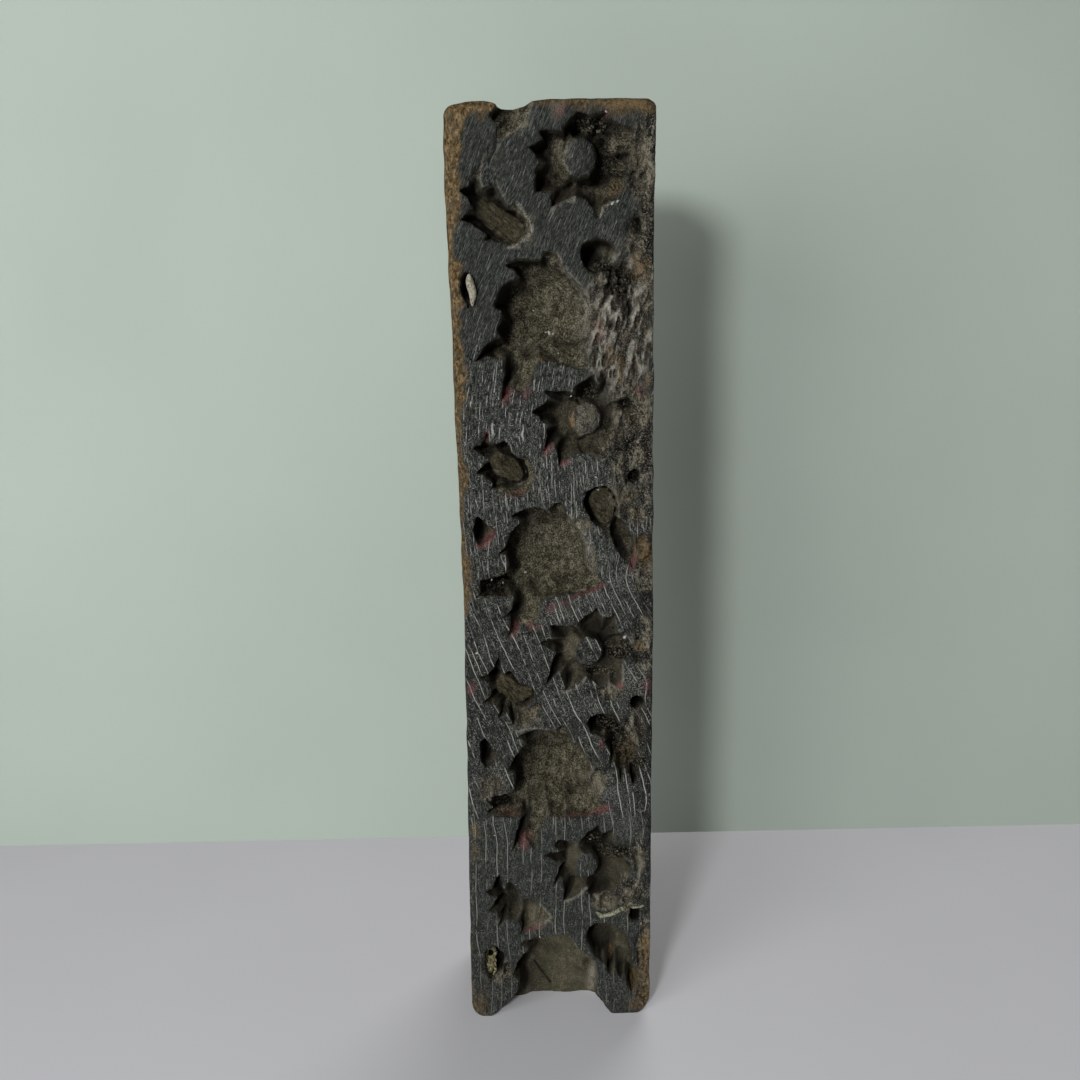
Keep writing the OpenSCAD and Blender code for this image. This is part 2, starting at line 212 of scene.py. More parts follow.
    "leaf_1": ([(7.0, 225.7), (8.2, 224.4), (8.7, 222.7), (11.4, 223.2), (12.4, 221.5), (13.6, 219.6),
        (14.6, 218.2), (17, 217.6), (18.9, 215.2), (19.4, 213.2), (18, 211), (15.4, 209.7), (13.2, 209.8),
        (10.6, 210.2), (8.5, 210.4), (9.3, 211.7), (7.5, 213), (5.5, 214.5), (3.2, 215.3), (5, 216.6), (6.3, 218),
        (5.4, 220), (3.1, 222.2), (5.2, 223.3), (6.2, 224.8)], [(7.2, 224.8, 5), (7, 223, 8), (10, 221.5, 8),
        (5, 222, 6), (6, 219, 8), (5, 215, 6), (8, 213, 8), (12, 214, 8), (16, 216.5, 7), (17, 212, 7),
        (11, 211.5, 6)]),
    "leaf_2": ([(8.4, 165.2), (9, 161.9), (10.8, 161.3), (12.7, 162.4), (13.8, 160.8), (14.6, 158.6), (16, 157.3),
        (17.9, 156.8), (19, 154.6), (19, 152), (17.6, 150.2), (15.4, 149.4), (13.6, 149.4), (11.8, 150),
        (8.4, 149.2), (9.3, 151.2), (7.3, 153.2), (5, 153.8), (7, 155.7), (8.2, 157.3), (6.9, 158.9), (4.6, 160.2),
        (6.6, 161.1), (7.5, 162.4)], [(8.4, 164, 4), (7.5, 160.3, 8), (12, 161, 7), (6, 160, 6), (8.5, 156.5, 8),
        (6.5, 154, 5.5), (9.5, 152, 7), (13, 155, 8), (18, 154, 6.5), (15, 150.3, 6.5), (9, 149.8, 4)]),
    "leaf_3": ([(10, 106), (10.4, 102.8), (11.1, 100.7), (12.7, 101.8), (14, 100), (15.2, 98.1), (17.2, 97.6),
        (19.4, 95.6), (19.2, 93.8), (17, 91.3), (14.6, 90.2), (14.2, 87.5), (13, 85.2), (13, 88), (12, 90),
        (8.8, 87.9), (10, 90.5), (8.4, 92.2), (5.3, 92.9), (7.2, 94.8), (7.7, 96.6), (7.2, 98.6), (3.8, 100),
        (6.8, 100.6), (8.4, 102.2)], [(9.6, 104, 5), (8.5, 100, 6.5), (12.5, 100.5, 6), (5.5, 100, 4), (8.3, 96, 6),
        (6.8, 93.3, 4), (9.8, 92, 5.5), (13, 96, 8), (18, 95, 5), (15, 91.8, 6), (13.4, 87.5, 5), (9.6, 89, 4)]),
    "leaf_4": ([(8.6, 43.4), (9.6, 41), (9.9, 39.4), (11.2, 41.1), (13, 40.2), (14.2, 37.6), (14.6, 35.6),
        (16.6, 36.1), (18.8, 35), (20.8, 33), (22.6, 30.5), (20.6, 28.7), (17.8, 26.6), (14.1, 25.4), (14.2, 27.8),
        (13, 29.8), (10.6, 29.3), (7.9, 27.5), (8.8, 29.8), (7.6, 31.4), (5.2, 32.5), (7.2, 34.2), (7.4, 36.2),
        (4.4, 38.4), (6.4, 39.3), (7, 41)], [(8, 40.5, 8.5), (8, 36.5, 9), (5.8, 38, 6), (12, 38, 6.5),
        (12, 32, 7.5), (16, 33.5, 4), (19, 31.5, 2.2), (21.3, 30.5, 1.4), (17.5, 28, 2.2), (14.5, 28.3, 5.5),
        (9.4, 29, 5), (6.8, 32.8, 5)]),
    "bud_1": ([(31.7, 207.5), (32.2, 209.3), (34, 210.3), (36, 210.7), (38.5, 210.2), (40.4, 209), (41.4, 207),
        (41, 204.5), (39.5, 203), (37.2, 202.2), (35.3, 202.2), (33, 203.8), (31.9, 205.5)], [(33.8, 207.5, 11),
        (36.3, 206.5, 10), (38.5, 206.8, 7), (40.5, 206.5, 3), (39, 204, 3.5), (36, 203.4, 7), (38, 209.3, 7)]),
    "bud_2": ([(32, 146), (33, 148.8), (35, 150), (38, 150.1), (40.4, 148.9), (41.4, 146.5), (41.6, 143.5),
        (40.9, 141), (39.5, 139.6), (38, 139), (35.5, 139.7), (34.4, 141), (33.4, 143), (32.2, 145)],
        [(37, 145, 9)]),
    "bud_2_prong": ([(40.5, 142.5), (42.6, 141.3), (44.5, 138), (45.6, 134.8), (46.2, 131.5), (45.2, 128.3),
        (44, 129.3), (42, 132), (40.2, 134.6), (39.2, 137), (38.6, 139.3)], [(40, 139, 6.5), (41.4, 136, 5),
        (43.6, 137, 2.5), (43.4, 132.6, 3.4), (45, 133, 1.6), (45, 130, 2)]),
    "bud_3": ([(32.8, 86.5), (33.4, 88.7), (35.2, 89.4), (38.2, 89.3), (40.6, 88.2), (42, 86), (44, 83.5), (46, 80),
        (47.3, 76.5), (46.8, 73), (46, 69.5), (45, 68.5), (44.4, 71.5), (43, 73), (42.4, 70), (41.7, 69.6),
        (41.2, 73), (40, 75), (39.2, 73.8), (39, 76), (38.6, 79), (37.4, 81.8), (35.5, 83.2), (34, 84)],
        [(34.3, 87, 11), (37, 88.3, 10), (39.5, 87.6, 9), (38, 84, 6), (39.3, 80, 9), (39.6, 76, 7),
        (41.5, 83.5, 4.5), (43.5, 80, 3), (42, 77.5, 4), (42, 73, 7), (45.6, 71.5, 7), (46, 76.5, 2),
        (44.2, 75, 3)]),
    "bud_4": ([(32, 24), (32.9, 26.8), (35, 28.1), (38.2, 28), (41, 26.8), (43.4, 24.4), (44.6, 21), (45.6, 16.5),
        (46.8, 12), (46.4, 8), (44.8, 6), (43.6, 8.5), (43, 11.5), (41.6, 10.5), (40.8, 13), (39.6, 11.6),
        (38.4, 12.3), (37.6, 15), (36.2, 16.4), (34.6, 18.2), (33, 21)], [(34, 25, 9), (38, 26, 8.5), (42, 24, 6),
        (36, 20, 6), (36.4, 17.6, 4.5), (38.6, 18, 8), (38.6, 14, 6.5), (40.2, 15, 4.5), (41.9, 15, 8), (42, 12, 6),
        (43.2, 14, 4.5), (44.3, 11, 7), (44.8, 8, 5), (45.6, 14, 3), (44, 20, 4.5)]),
    "almond_1": ([(2.8, 201.5), (4, 203.3), (5.5, 203), (6.8, 201), (7, 198.5), (6, 196), (4.6, 194.4), (4, 196.3),
        (3, 199)], [(4.5, 201, 6), (5.5, 198, 5), (4.8, 195.8, 3)]),
    "almond_2": ([(4.4, 142.5), (5.5, 143.2), (6.8, 142.2), (8, 140.5), (10, 139.3), (8.8, 137), (7, 135.1),
        (5.5, 135), (4.5, 137), (4.2, 140)], [(5.5, 140, 7.5), (5.5, 138, 7), (8.6, 139.2, 2), (7.2, 136.6, 2.5),
        (5.8, 135.6, 3.5)]),
    "almond_3": ([(4.1, 80), (4.6, 82.3), (5.8, 83), (7, 82), (8, 79.8), (9.6, 77.8), (8.3, 75.8), (6, 74.6),
        (4.7, 76)], [(5.6, 80.5, 8), (5.4, 77.5, 7), (8.4, 77.8, 2), (7, 76.2, 2.5)]),
    "almond_4": ([(4, 20), (5.5, 21.7), (7.5, 21.3), (9.3, 19.7), (9.5, 17), (9, 14), (7.9, 12), (6.4, 11.6),
        (5, 12), (4.2, 15)], [(8, 17.5, 8), (8.2, 14, 7), (5.5, 17, 5), (5.6, 14, 3.8)]),
    "dot_1": ([(45.3, 213.4), (45.6, 215.2), (46.4, 215.6), (47.2, 214.2), (47, 212.6), (46.2, 211.6),
        (45.6, 212.2)], [(46.6, 213.6, 6), (45.6, 213.6, 2.5)]),
    "dot_2": ([(43.1, 151.4), (44, 153.4), (45.2, 154.5), (46.7, 153.6), (46.9, 151.5), (45.3, 150.1)],
        [(45, 152.3, 6)]),
    "dot_5": ([(40.8, 171.2), (42.2, 172.3), (44.2, 171.8), (45.4, 171), (44.6, 169.5), (42.6, 169.3)],
        [(43, 170.7, 6)]),
    "dot_3": ([(44, 92), (44.6, 93.6), (46, 94.3), (47.4, 93.7), (48.1, 92), (47.5, 90.4), (46.1, 89.8),
        (44.7, 90.5)], [(46, 92.2, 8)]),
    "dot_4": ([(43.8, 30), (44.5, 31.8), (46.2, 32.8), (47.4, 31.5), (46.8, 29.3), (45.2, 28.7)],
        [(45.7, 30.7, 6)]),
}

# Shallow sloping facets beside the hollows, cut the same way
LEDGES = [
    ([(14.6, 218.2), (16.8, 219.1), (18.6, 216.9), (20.7, 213.9), (19.9, 211.9), (17.8, 210), (15, 208.9),
        (14, 210.5), (17.5, 214)], [(15, 217.5, 1.8), (18.8, 214, 1.6), (17, 210.5, 1.4), (20.3, 213.5, 0.6)]),
    ([(16, 157.3), (18.3, 158), (20.1, 155.4), (21, 152.4), (20, 149.8), (17.5, 147.9), (14.3, 147), (12.5, 148.4),
        (9, 148.9), (12, 150.5), (17, 152)], [(16.5, 156.5, 2.6), (19, 153, 2.2), (16, 149.5, 2.2),
        (20.5, 152, 0.9), (14.5, 147.5, 1), (10, 149.2, 1.8)]),
    ([(14.9, 90.2), (17.2, 91.2), (19.8, 93), (22.6, 92.2), (21, 89.4), (19.2, 87.4), (16.5, 85.9), (13.2, 84.6),
        (14.4, 87.4)], [(15, 89.8, 3.6), (14.5, 87.5, 3), (18, 91.2, 2.6), (21.8, 91.8, 0.5), (17.5, 87.3, 0.9),
        (13.8, 85.3, 1.2), (20.4, 89.6, 0.6)]),
    ([(9.6, 231), (8.2, 228), (6.3, 225.8), (5.2, 224.6), (7.5, 223.5), (8.6, 222.8), (9.2, 225), (9.9, 228)],
        [(9.4, 230.5, 0.2), (8.2, 226.5, 1.1), (6.5, 224.8, 2), (8.8, 224, 0.5)]),
    ([(9.7, 230.8), (9, 227), (8.8, 223), (11.3, 223.2), (12.2, 222.7), (11.5, 226), (11.4, 230), (12.8, 232.5),
        (10.8, 232)], [(9.2, 227, 0.1), (11.3, 226, 0.8), (11.2, 230.5, 0.7), (9.3, 223.5, 0.3),
        (11.5, 223.5, 0.8)]),
    ([(9.3, 120.8), (13.4, 120.8), (13.3, 117.5), (11.3, 115.6), (12, 118), (10, 119.6)], [(12.5, 119.5, 1.4),
        (10, 120.3, 0.6)]),
]

# Sharp ridges between the cuts of a hollow: points (x, z, depth) along each crest
RIDGE_FALL, RIDGE_HALF_W = 2.2, 0.15
RIDGES = {
    "flower_1": [[(27.5, 235.6, 0.6), (29.3, 234, 6)], [(22.6, 228.2, 0.6), (26.2, 228.6, 6.5)], [(25, 221.1, 0.5),
        (27.6, 223.2, 5.5)], [(30.8, 220, 0.4), (31.2, 223.6, 5)], [(38.8, 237.8, 0.8), (37.2, 234.6, 6)],
        [(34.6, 238.4, 0.8), (34.2, 235.4, 6)]],
    "flower_2": [[(23.9, 172.4, 0.6), (27, 170.8, 5.5)], [(23.3, 165.6, 0.6), (27, 165.4, 6)], [(25, 161, 0.6),
        (28, 163, 5.5)], [(29.8, 174, 0.6), (31, 172.2, 5)], [(36.5, 176.8, 0.6), (36, 172.8, 4.5)],
        [(40.6, 172.4, 0.5), (38, 170, 4)]],
    "flower_3": [[(26.2, 102.5, 4.5), (26.4, 99, 1.6), (26.6, 95.4, 0.3)], [(33.4, 102.2, 3.6), (32.8, 99.4, 0.6)],
        [(39.2, 103, 3.5), (38.7, 99, 1.5), (38.3, 94.2, 0.4)], [(30.3, 113.5, 0.6), (31.6, 111.2, 3.6)],
        [(24.3, 110.3, 0.5), (27, 109.2, 3.6)], [(24.4, 106.3, 0.5), (27.2, 105.6, 4)], [(37.3, 116, 0.5),
        (37, 111.8, 3.6)], [(41.5, 111.8, 0.5), (38.8, 110, 3.6)], [(42.8, 103.3, 0.4), (39.8, 104.4, 3.5)],
        [(25.8, 100.5, 0.5), (28.2, 103, 4)]],
    "flower_4": [[(30.2, 51.9, 0.5), (31.4, 50, 3.6)], [(24.9, 50, 0.5), (27.4, 48.6, 4)], [(25.2, 46.2, 0.5),
        (27.6, 45.6, 4.5)], [(25.7, 41.6, 0.5), (28.6, 42.8, 3.5)], [(32.5, 38.9, 0.4), (32.6, 41, 3)],
        [(36.9, 55.4, 0.5), (36.4, 51.8, 4)], [(40.7, 51.6, 0.5), (38, 49.4, 4)], [(43.5, 47.3, 0.4),
        (39.5, 46.3, 4)]],
    "leaf_4": [[(9.9, 39.5, 0.5), (10.3, 36, 3.6), (12, 33, 5)], [(14.6, 35.7, 0.5), (14.4, 32, 1.8),
        (13.4, 29.9, 0.8)], [(7.4, 36.2, 0.5), (9.4, 35.6, 5)], [(7.6, 31.4, 0.5), (10, 32.2, 4.5)],
        [(19.6, 35, 0.2), (19.2, 31, 1.0), (18, 27, 0.3)]],
    "leaf_3": [[(10.4, 102.2, 0.6), (10.8, 99.8, 4)], [(7.7, 96.6, 0.6), (9.4, 96.2, 4)], [(8.5, 92.2, 0.6),
        (10.6, 93.2, 4)]],
    "leaf_2": [[(9.1, 161.9, 0.6), (10, 160, 4)], [(8.2, 157.3, 0.6), (9.2, 156.6, 4)]],
    "leaf_1": [[(6.3, 218, 0.6), (8, 217.6, 4)], [(8.7, 222.8, 0.6), (9.2, 221, 4)]],
    "bloom_1": [[(15, 174.8, 0.5), (15.6, 177.5, 4.5), (17.5, 181, 8)], [(21.8, 182.2, 0.4), (21.4, 184.5, 5)],
        [(12.6, 182.3, 0.6), (14.8, 183.6, 7)]],
    "bloom_2": [[(16.2, 113.6, 0.5), (16.6, 116.5, 4.5), (17.8, 119.5, 8)], [(22.4, 120.8, 0.4), (22.4, 123.5, 5)],
        [(13.8, 121.4, 0.6), (15.4, 122.6, 7)]],
    "bloom_3": [[(15.8, 53.8, 0.5), (16.2, 57, 3.2), (16.6, 61, 5), (16.8, 65, 8)], [(22.6, 60.4, 0.4),
        (21.8, 62, 2.4), (21.4, 66, 7.5)], [(27.2, 60, 0.4), (27, 62, 2.4), (26.8, 66, 7.5)], [(14.6, 60.3, 0.6),
        (15.2, 62.5, 6.5)]],
    "bud_3": [[(40.4, 77, 3.4), (40.1, 75, 0.5)], [(43.4, 76, 2.4), (43, 73.2, 0.5)], [(37.4, 82, 0.5),
        (38.4, 84.6, 5)]],
    "bud_4": [[(36.4, 20, 5.6), (37.2, 15.6, 1.4)], [(40.4, 17.5, 5.6), (39.8, 12, 0.6)], [(43.2, 16, 4.6),
        (42.4, 11, 0.6)]],
}

# Dried paste standing in some hollows: outline, depth of its top
PLUGS = {
    "leaf_1": ([(6.8, 219.5), (8.5, 220.6), (11.5, 219.8), (14, 217.6), (17, 216.2), (18.7, 214.3), (18.8, 213),
        (17, 210.6), (15.2, 209.9), (12, 211), (9, 213.8), (6.9, 216.5)], 3.4),
    "leaf_2": ([(8.7, 158), (10.5, 159.8), (13, 158.5), (15.3, 157.2), (17.2, 155.2), (17.9, 153), (17, 151.2),
        (15.5, 151), (13.5, 151.7), (10, 152.8), (8.6, 155.2)], 2.0),
    "leaf_3": ([(8.8, 97.5), (10, 100), (11.5, 100.5), (13.5, 99.5), (15, 97.7), (17, 97), (18.5, 96.3),
        (18.9, 94.8), (18, 93.5), (16, 92.6), (14.3, 91.9), (12.8, 91.9), (11.5, 93.5), (9, 95.5)], 1.7),
    "bud_2": ([(33.5, 147), (34.4, 149.2), (36.5, 149.9), (38.8, 149.5), (40.4, 147.8), (40.9, 145), (40.6, 141.9),
        (39.4, 140.2), (37.5, 139.6), (36, 140.4), (34.6, 143.2), (33.6, 145.2)], 2.6),
}

# Flower eyes left standing: outline, depth of the top
EYES = {
    "flower_1": ([(28.6, 230.5), (29.6, 232.5), (31, 233.4), (33, 233.3), (34.7, 232), (35.6, 229.8), (35.2, 227.3),
        (34, 225.6), (32, 224.9), (30.3, 225.6), (29, 227.5)], 0.3),
    "flower_2": ([(30.3, 168.5), (31.5, 170.3), (33.5, 171), (35.3, 170), (36.3, 168), (36, 165.5), (34.5, 163.8),
        (32.5, 163.3), (30.8, 164.8), (30.2, 166.5)], 0.4),
    "flower_3": ([(30.3, 107.3), (31.5, 109.3), (33.3, 109.8), (35.3, 109), (36.6, 107.2), (36.5, 105.3),
        (35.2, 103.4), (33.5, 102.7), (31.5, 104.2), (30.4, 105.6)], 0.2),
    "flower_4": ([(30.3, 47.5), (31.5, 48.8), (33.5, 48.6), (35, 46.6), (35.2, 44.5), (34, 42.5), (32.3, 41.6),
        (30.5, 42.5), (30, 44.8)], 0.2),
}

# Crumbs of dried dirt lying in the carving, as the photograph shows them: lone ones by x, z and radius, and heaps
# by x, z, half sizes, count and largest radius
LONE_SPREAD = 0.1
LONE_CRUMBS = [
    (42.2, 232.4, 1.5), (44.4, 233.4, 0.9), (39.8, 231, 2.3), (42.6, 226.4, 1.3), (40.4, 227.4, 1.2),
    (38.8, 226, 0.9), (26.4, 231.4, 1.5), (34.6, 236, 1.0), (36.4, 235, 0.8), (32.8, 236.6, 0.7),
    (37.2, 200.8, 1.6), (45.8, 203.4, 1.8), (36.4, 85.6, 1.4), (39.6, 86.4, 1.2), (41.6, 82.6, 1.3),
    (42.4, 79.4, 1.1), (43.4, 107.6, 1.3), (40.6, 107.4, 1.0), (38.4, 107.2, 0.9), (47, 133, 1.8),
    (48.4, 135.6, 1.3), (47.8, 130, 1.0), (39.6, 50, 1.0), (42, 49.6, 1.0),
]
HEAPS = [
    (43.2, 232.4, 2.4, 2.2, 6, 0.7), (41.6, 227, 2.8, 2.0, 7, 0.7), (45, 225, 1.6, 4, 14, 1.0),
    (39.3, 232, 1.8, 2.8, 12, 0.8), (26.4, 231.6, 1.4, 2.0, 12, 0.8), (34, 236.2, 3.2, 1.2, 16, 0.8),
    (37.5, 203.6, 3.0, 1.4, 16, 0.9), (42, 200, 2.4, 4.0, 30, 0.9), (41, 190, 6, 10, 60, 0.8),
    (32.8, 173.9, 2.2, 1.6, 16, 0.6), (43, 170.8, 2.0, 0.9, 14, 0.6), (41, 162, 3.5, 6, 26, 0.5),
    (9, 124.6, 3.4, 1.7, 34, 0.7), (41.2, 106.8, 2.8, 2.0, 26, 0.8), (34.8, 101.6, 1.8, 0.9, 14, 0.6),
    (40.8, 49.6, 3.0, 1.2, 20, 0.7), (34.8, 54.2, 1.4, 1.4, 12, 0.6), (9.6, 65, 3.2, 1.2, 16, 0.6),
    (38.6, 85.6, 2.6, 2.4, 24, 0.8), (41.6, 80.6, 2.0, 3.6, 26, 0.8), (44.6, 75.5, 1.6, 2.6, 12, 0.6),
    (12, 157, 2.6, 3.0, 14, 0.5), (37, 144.8, 2.6, 3.6, 20, 0.5), (44, 146, 2, 2.6, 16, 0.7),
    (47.6, 133, 1.8, 3, 20, 0.8), (47, 12, 2, 10, 40, 0.7), (13, 214.5, 4, 3, 14, 0.4),
    (13.5, 96, 3.6, 2.6, 14, 0.4), (22, 239.5, 6, 1.4, 10, 0.5), (44.6, 222, 2.6, 5, 24, 0.6),
    (2.2, 205, 1.2, 34, 60, 0.5), (30, 184, 5, 3, 26, 0.5), (30, 124.5, 5, 2, 20, 0.5),
]
CRUMBS = [(x, z, LONE_SPREAD, LONE_SPREAD, 1, radius) for x, z, radius in LONE_CRUMBS] + HEAPS

# The block as a solid of distances on a fine grid

VOXEL = 0.33
PAD = 2.0
FINE_D, BACK_STEP = 14.0, 1.0
gx = np.arange(-PAD, BLOCK_W + PAD, VOXEL, dtype=np.float32)
gd = np.concatenate([np.arange(-PAD, FINE_D, VOXEL), np.arange(FINE_D, BLOCK_T + PAD, BACK_STEP)]).astype(np.float32)
gz = np.arange(-PAD, BLOCK_L + PAD, VOXEL, dtype=np.float32)
X, Z = gx[:, None], gz[None, :]
D = gd[None, :, None]
FLAT = (len(gx), len(gz))
DEEP = (len(gx), len(gd), len(gz))
rng = np.random.default_rng(7)


def flat_noise(cell_x, cell_z):
    return lattice(FLAT, (cell_x / VOXEL, cell_z / VOXEL), rng)


def deep_noise(cell):
    return lattice(DEEP, (cell / VOXEL,) * 3, rng)


def span(values, low, high):
    return slice(int(np.searchsorted(values, low)), int(np.searchsorted(values, high)))


def patch(x, z, half_x, half_z, soft):
    """1 inside a soft-edged oval patch of the face, 0 outside."""
    r = np.hypot((X - x) / half_x, (Z - z) / half_z)
    return smoothstep(1 + soft, 1 - soft, r)


wobble = flat_noise(3.0, 3.0) * 0.2 + flat_noise(1.3, 1.3) * 0.2 + flat_noise(0.8, 0.8) * 0.1
lumps = flat_noise(3.6, 3.6)
grit = flat_noise(0.9, 0.9)
fibre = flat_noise(1.1, 6.0)
fine_fibre = flat_noise(0.6, 3.0)

# Ridges of rotten wood, leaning with the grain of the worn column
RIDGE_LEAN = ([0, 165, 185, 242], [0, 0, 3, 20])
ridge_lean = np.rint(np.interp(gz, *RIDGE_LEAN) / VOXEL).astype(int)
ridge_from = (np.arange(len(gx))[:, None] - ridge_lean[None, :]) % len(gx)
ridge_noise = flat_noise(1.2, 6.0) + 0.8 * flat_noise(0.7, 3.0)
ridges = 1 - np.abs(ridge_noise[ridge_from, np.arange(len(gz))[None, :]]) * 1.6
ridges = np.clip(ridges + 0.25 * flat_noise(1.5, 1.5), 0, 1)

# How far the face is worn away, in mm: place, half sizes, softness, depth, then how fibrous and how lumpy
WORN = [
    (41.5, 189, 8.5, 17.5, 0.3, 1.2, 0.3, 0.7), (45.5, 163.5, 4.5, 10, 0.5, 1.2, 0.2, 0.5),
    (45.0, 222, 4, 7, 0.6, 0.9, 0.2, 0.5), (47.2, 107.5, 2.6, 6.5, 0.6, 0.8, 0.1, 0.5),
    (44, 148, 3.5, 5, 0.5, 1.1, 0.2, 0.7), (47.8, 133.5, 2.6, 3.6, 0.4, 1.6, 0.1, 0.9),
    (47.6, 15, 2.6, 9, 0.4, 1.0, 0.9, 0.5), (46.2, 212.6, 2.6, 4, 0.5, 0.8, 0.3, 0.6),
    (38.5, 34.5, 3.4, 2.2, 0.5, 0.8, 0.1, 0.7), (44.5, 36, 3, 4, 0.6, 0.5, 0.2, 0.5),
    (45.6, 82, 2.4, 4, 0.5, 0.7, 0.2, 0.6), (9, 120.5, 4.5, 1.4, 0.5, 0.8, 0, 0.2),
    (8.5, 15, 4.5, 3.5, 0.5, 0.5, 0.1, 0.4), (3, 6, 3.4, 4, 0.5, 0.4, 0.2, 0.4),
    (32.4, 140, 2.6, 1.6, 0.5, 0.9, 0.1, 0.6), (35.3, 130.5, 1.8, 4, 0.5, 0.8, 0.3, 0.4),
    (41.2, 200.8, 2.8, 4.6, 0.7, 2.4, 1.2, 1.6), (43.6, 195.6, 1.4, 3, 0.7, 1.4, 0.8, 0.8),
    (38.5, 203.4, 2.4, 1.4, 0.7, 1.6, 0.6, 1.4), (35.2, 70, 2, 4, 0.5, 1.0, 0.1, 0.4),
    (37.5, 95.5, 3.5, 2, 0.5, 0.8, 0.1, 0.6),
]
worn = np.zeros(FLAT, np.float32)
for x, z, half_x, half_z, soft, depth, fibrous, lumpy in WORN:
    rough = fibrous * (fibre + 0.6 * fine_fibre) + lumpy * lumps
    worn = worn + patch(x, z, half_x, half_z, soft) * (depth + rough)
rot = patch(*WORN[0][:5])
worn = worn + rot * (1.2 * (1 - ridges) - 0.4 + 0.45 * fine_fibre + 0.3 * grit)

# Weathered wood along the right side: place, half sizes, softness
SHABBY = [
    (44.5, 163, 6.6, 15, 0.4), (39.5, 161.5, 4.2, 6, 0.5), (44.2, 146, 5.4, 6, 0.4), (48.5, 128, 3.2, 9, 0.5),
    (48.8, 218, 2.6, 24, 0.6), (46.5, 228, 3.4, 9, 0.5), (47.6, 108, 3, 8, 0.5), (48.8, 16, 2.6, 16, 0.5),
    (44.5, 36, 4, 6, 0.5), (36, 69.5, 2.2, 5, 0.5), (45, 84, 3, 6, 0.5), (37, 34.5, 3.4, 2.6, 0.5),
    (46, 210, 3, 5, 0.5), (32, 140.5, 2.6, 1.8, 0.5), (40, 139, 2.5, 3, 0.5), (46.5, 49, 2, 5, 0.6),
    (39, 95, 4, 2, 0.5), (8, 14, 4, 4, 0.6), (7, 69.5, 4, 4, 0.7),
]
shabby = np.zeros(FLAT, np.float32)
for x, z, half_x, half_z, soft in SHABBY:
    shabby = np.maximum(shabby, patch(x, z, half_x, half_z, soft))
shabby = shabby * smoothstep(-0.9, 0.5, flat_noise(2.6, 3.4) + 2.2 * shabby - 1.0)
scab = flat_noise(1.3, 2.8)
scab = 0.3 * scab + 0.7 * np.round(1.7 * scab + 0.6 * grit) / 1.7
worn = worn + shabby * (0.7 + 0.5 * lumps + 0.8 * scab + 0.3 * grit)
worn = np.maximum(worn, 0) + 0.06 + 0.07 * lumps + 0.04 * grit
for outline, top_d in EYES.values():
    eye = polygon(X, Z, outline)
    worn = np.where(eye < 0.6, np.maximum(worn, top_d + 0.7 * smoothstep(-2.6, 0.3, eye)), worn)

# Outer shape, with its worn edges: heights and how far in the two long sides lie, then places and heights of the top
LEFT_IN = ([0, 20, 60, 80, 120, 140, 165, 205, 222, 242], [0, 0.1, 0.6, 0.9, 1.1, 0.9, 0.5, 0, -0.4, -0.4])
RIGHT_IN = ([0, 20, 70, 110, 150, 205, 242], [0.2, 0, 0, -0.2, -0.1, 0, -0.3])
TOP_AT = (
    [0, 2, 5, 9.5, 11.5, 13.5, 16.5, 19, 21, 25, 50],
    [241.4, 241.8, 242.3, 242.4, 242, 241.2, 240.9, 241.4, 242.2, 242.6, 242.5],
)
RIGHT_FOOT_R, LEFT_FOOT_R, TOP_CORNER_R = 4.6, 4.0, 2.4
left = np.maximum(np.interp(gz, *LEFT_IN)[None, :] + 0.14 * flat_noise(60, 5.0), -0.5)
right = BLOCK_W - np.maximum(np.interp(gz, *RIGHT_IN)[None, :] + 0.14 * flat_noise(60, 5.0), -0.4)
top = np.minimum(np.interp(gx, *TOP_AT)[:, None] + 0.15 * flat_noise(5.0, 400.0), BLOCK_L + 0.6)
corner = np.where(Z < BLOCK_L / 2, np.where(X > BLOCK_W / 2, RIGHT_FOOT_R, LEFT_FOOT_R), TOP_CORNER_R)
qx = np.abs(X - (left + right) / 2) - (right - left) / 2 + corner
qz = np.abs(Z - top / 2) - top / 2 + corner
plan = rounded_box(qx, qz, corner)
solid = soft_max(plan[:, None, :], D - BLOCK_T, 1.6)
solid = soft_max(solid, worn[:, None, :] - D, (0.35 + 0.65 * smoothstep(3, 10, Z))[:, None, :])


def shaved(past_edge, leg, tilt, fall, soft):
    """The solid with an edge of the face worn to a slope, which starts a leg in from that edge."""
    slope = (past_edge * tilt)[:, None, :] - D * fall + (leg * tilt)[:, None, :]
    return soft_max(solid, slope, soft)


# The long left edge, the top edge and the feet are worn to slopes: places and legs
LEFT_LEG = ([0, 110, 122, 150, 182, 205, 225, 242], [0.5, 0.6, 1.8, 1.7, 2.4, 2.2, 3.2, 3.6])
TOP_LEG = ([0, 9, 14, 22, 30, 50], [2.6, 2.2, 1.0, 0.8, 1.2, 1.2])
FOOT_LEG = 0.15
solid = shaved(left - X, np.interp(gz, *LEFT_LEG)[None, :] + 0.3 * flat_noise(60, 5.0), 0.5, 0.86, 0.9)
solid = shaved(Z - top, np.interp(gx, *TOP_LEG)[:, None], 0.5, 0.86, 0.9)
solid = shaved(-Z, np.full((1, 1), FOOT_LEG), 0.6, 0.8, 0.3)

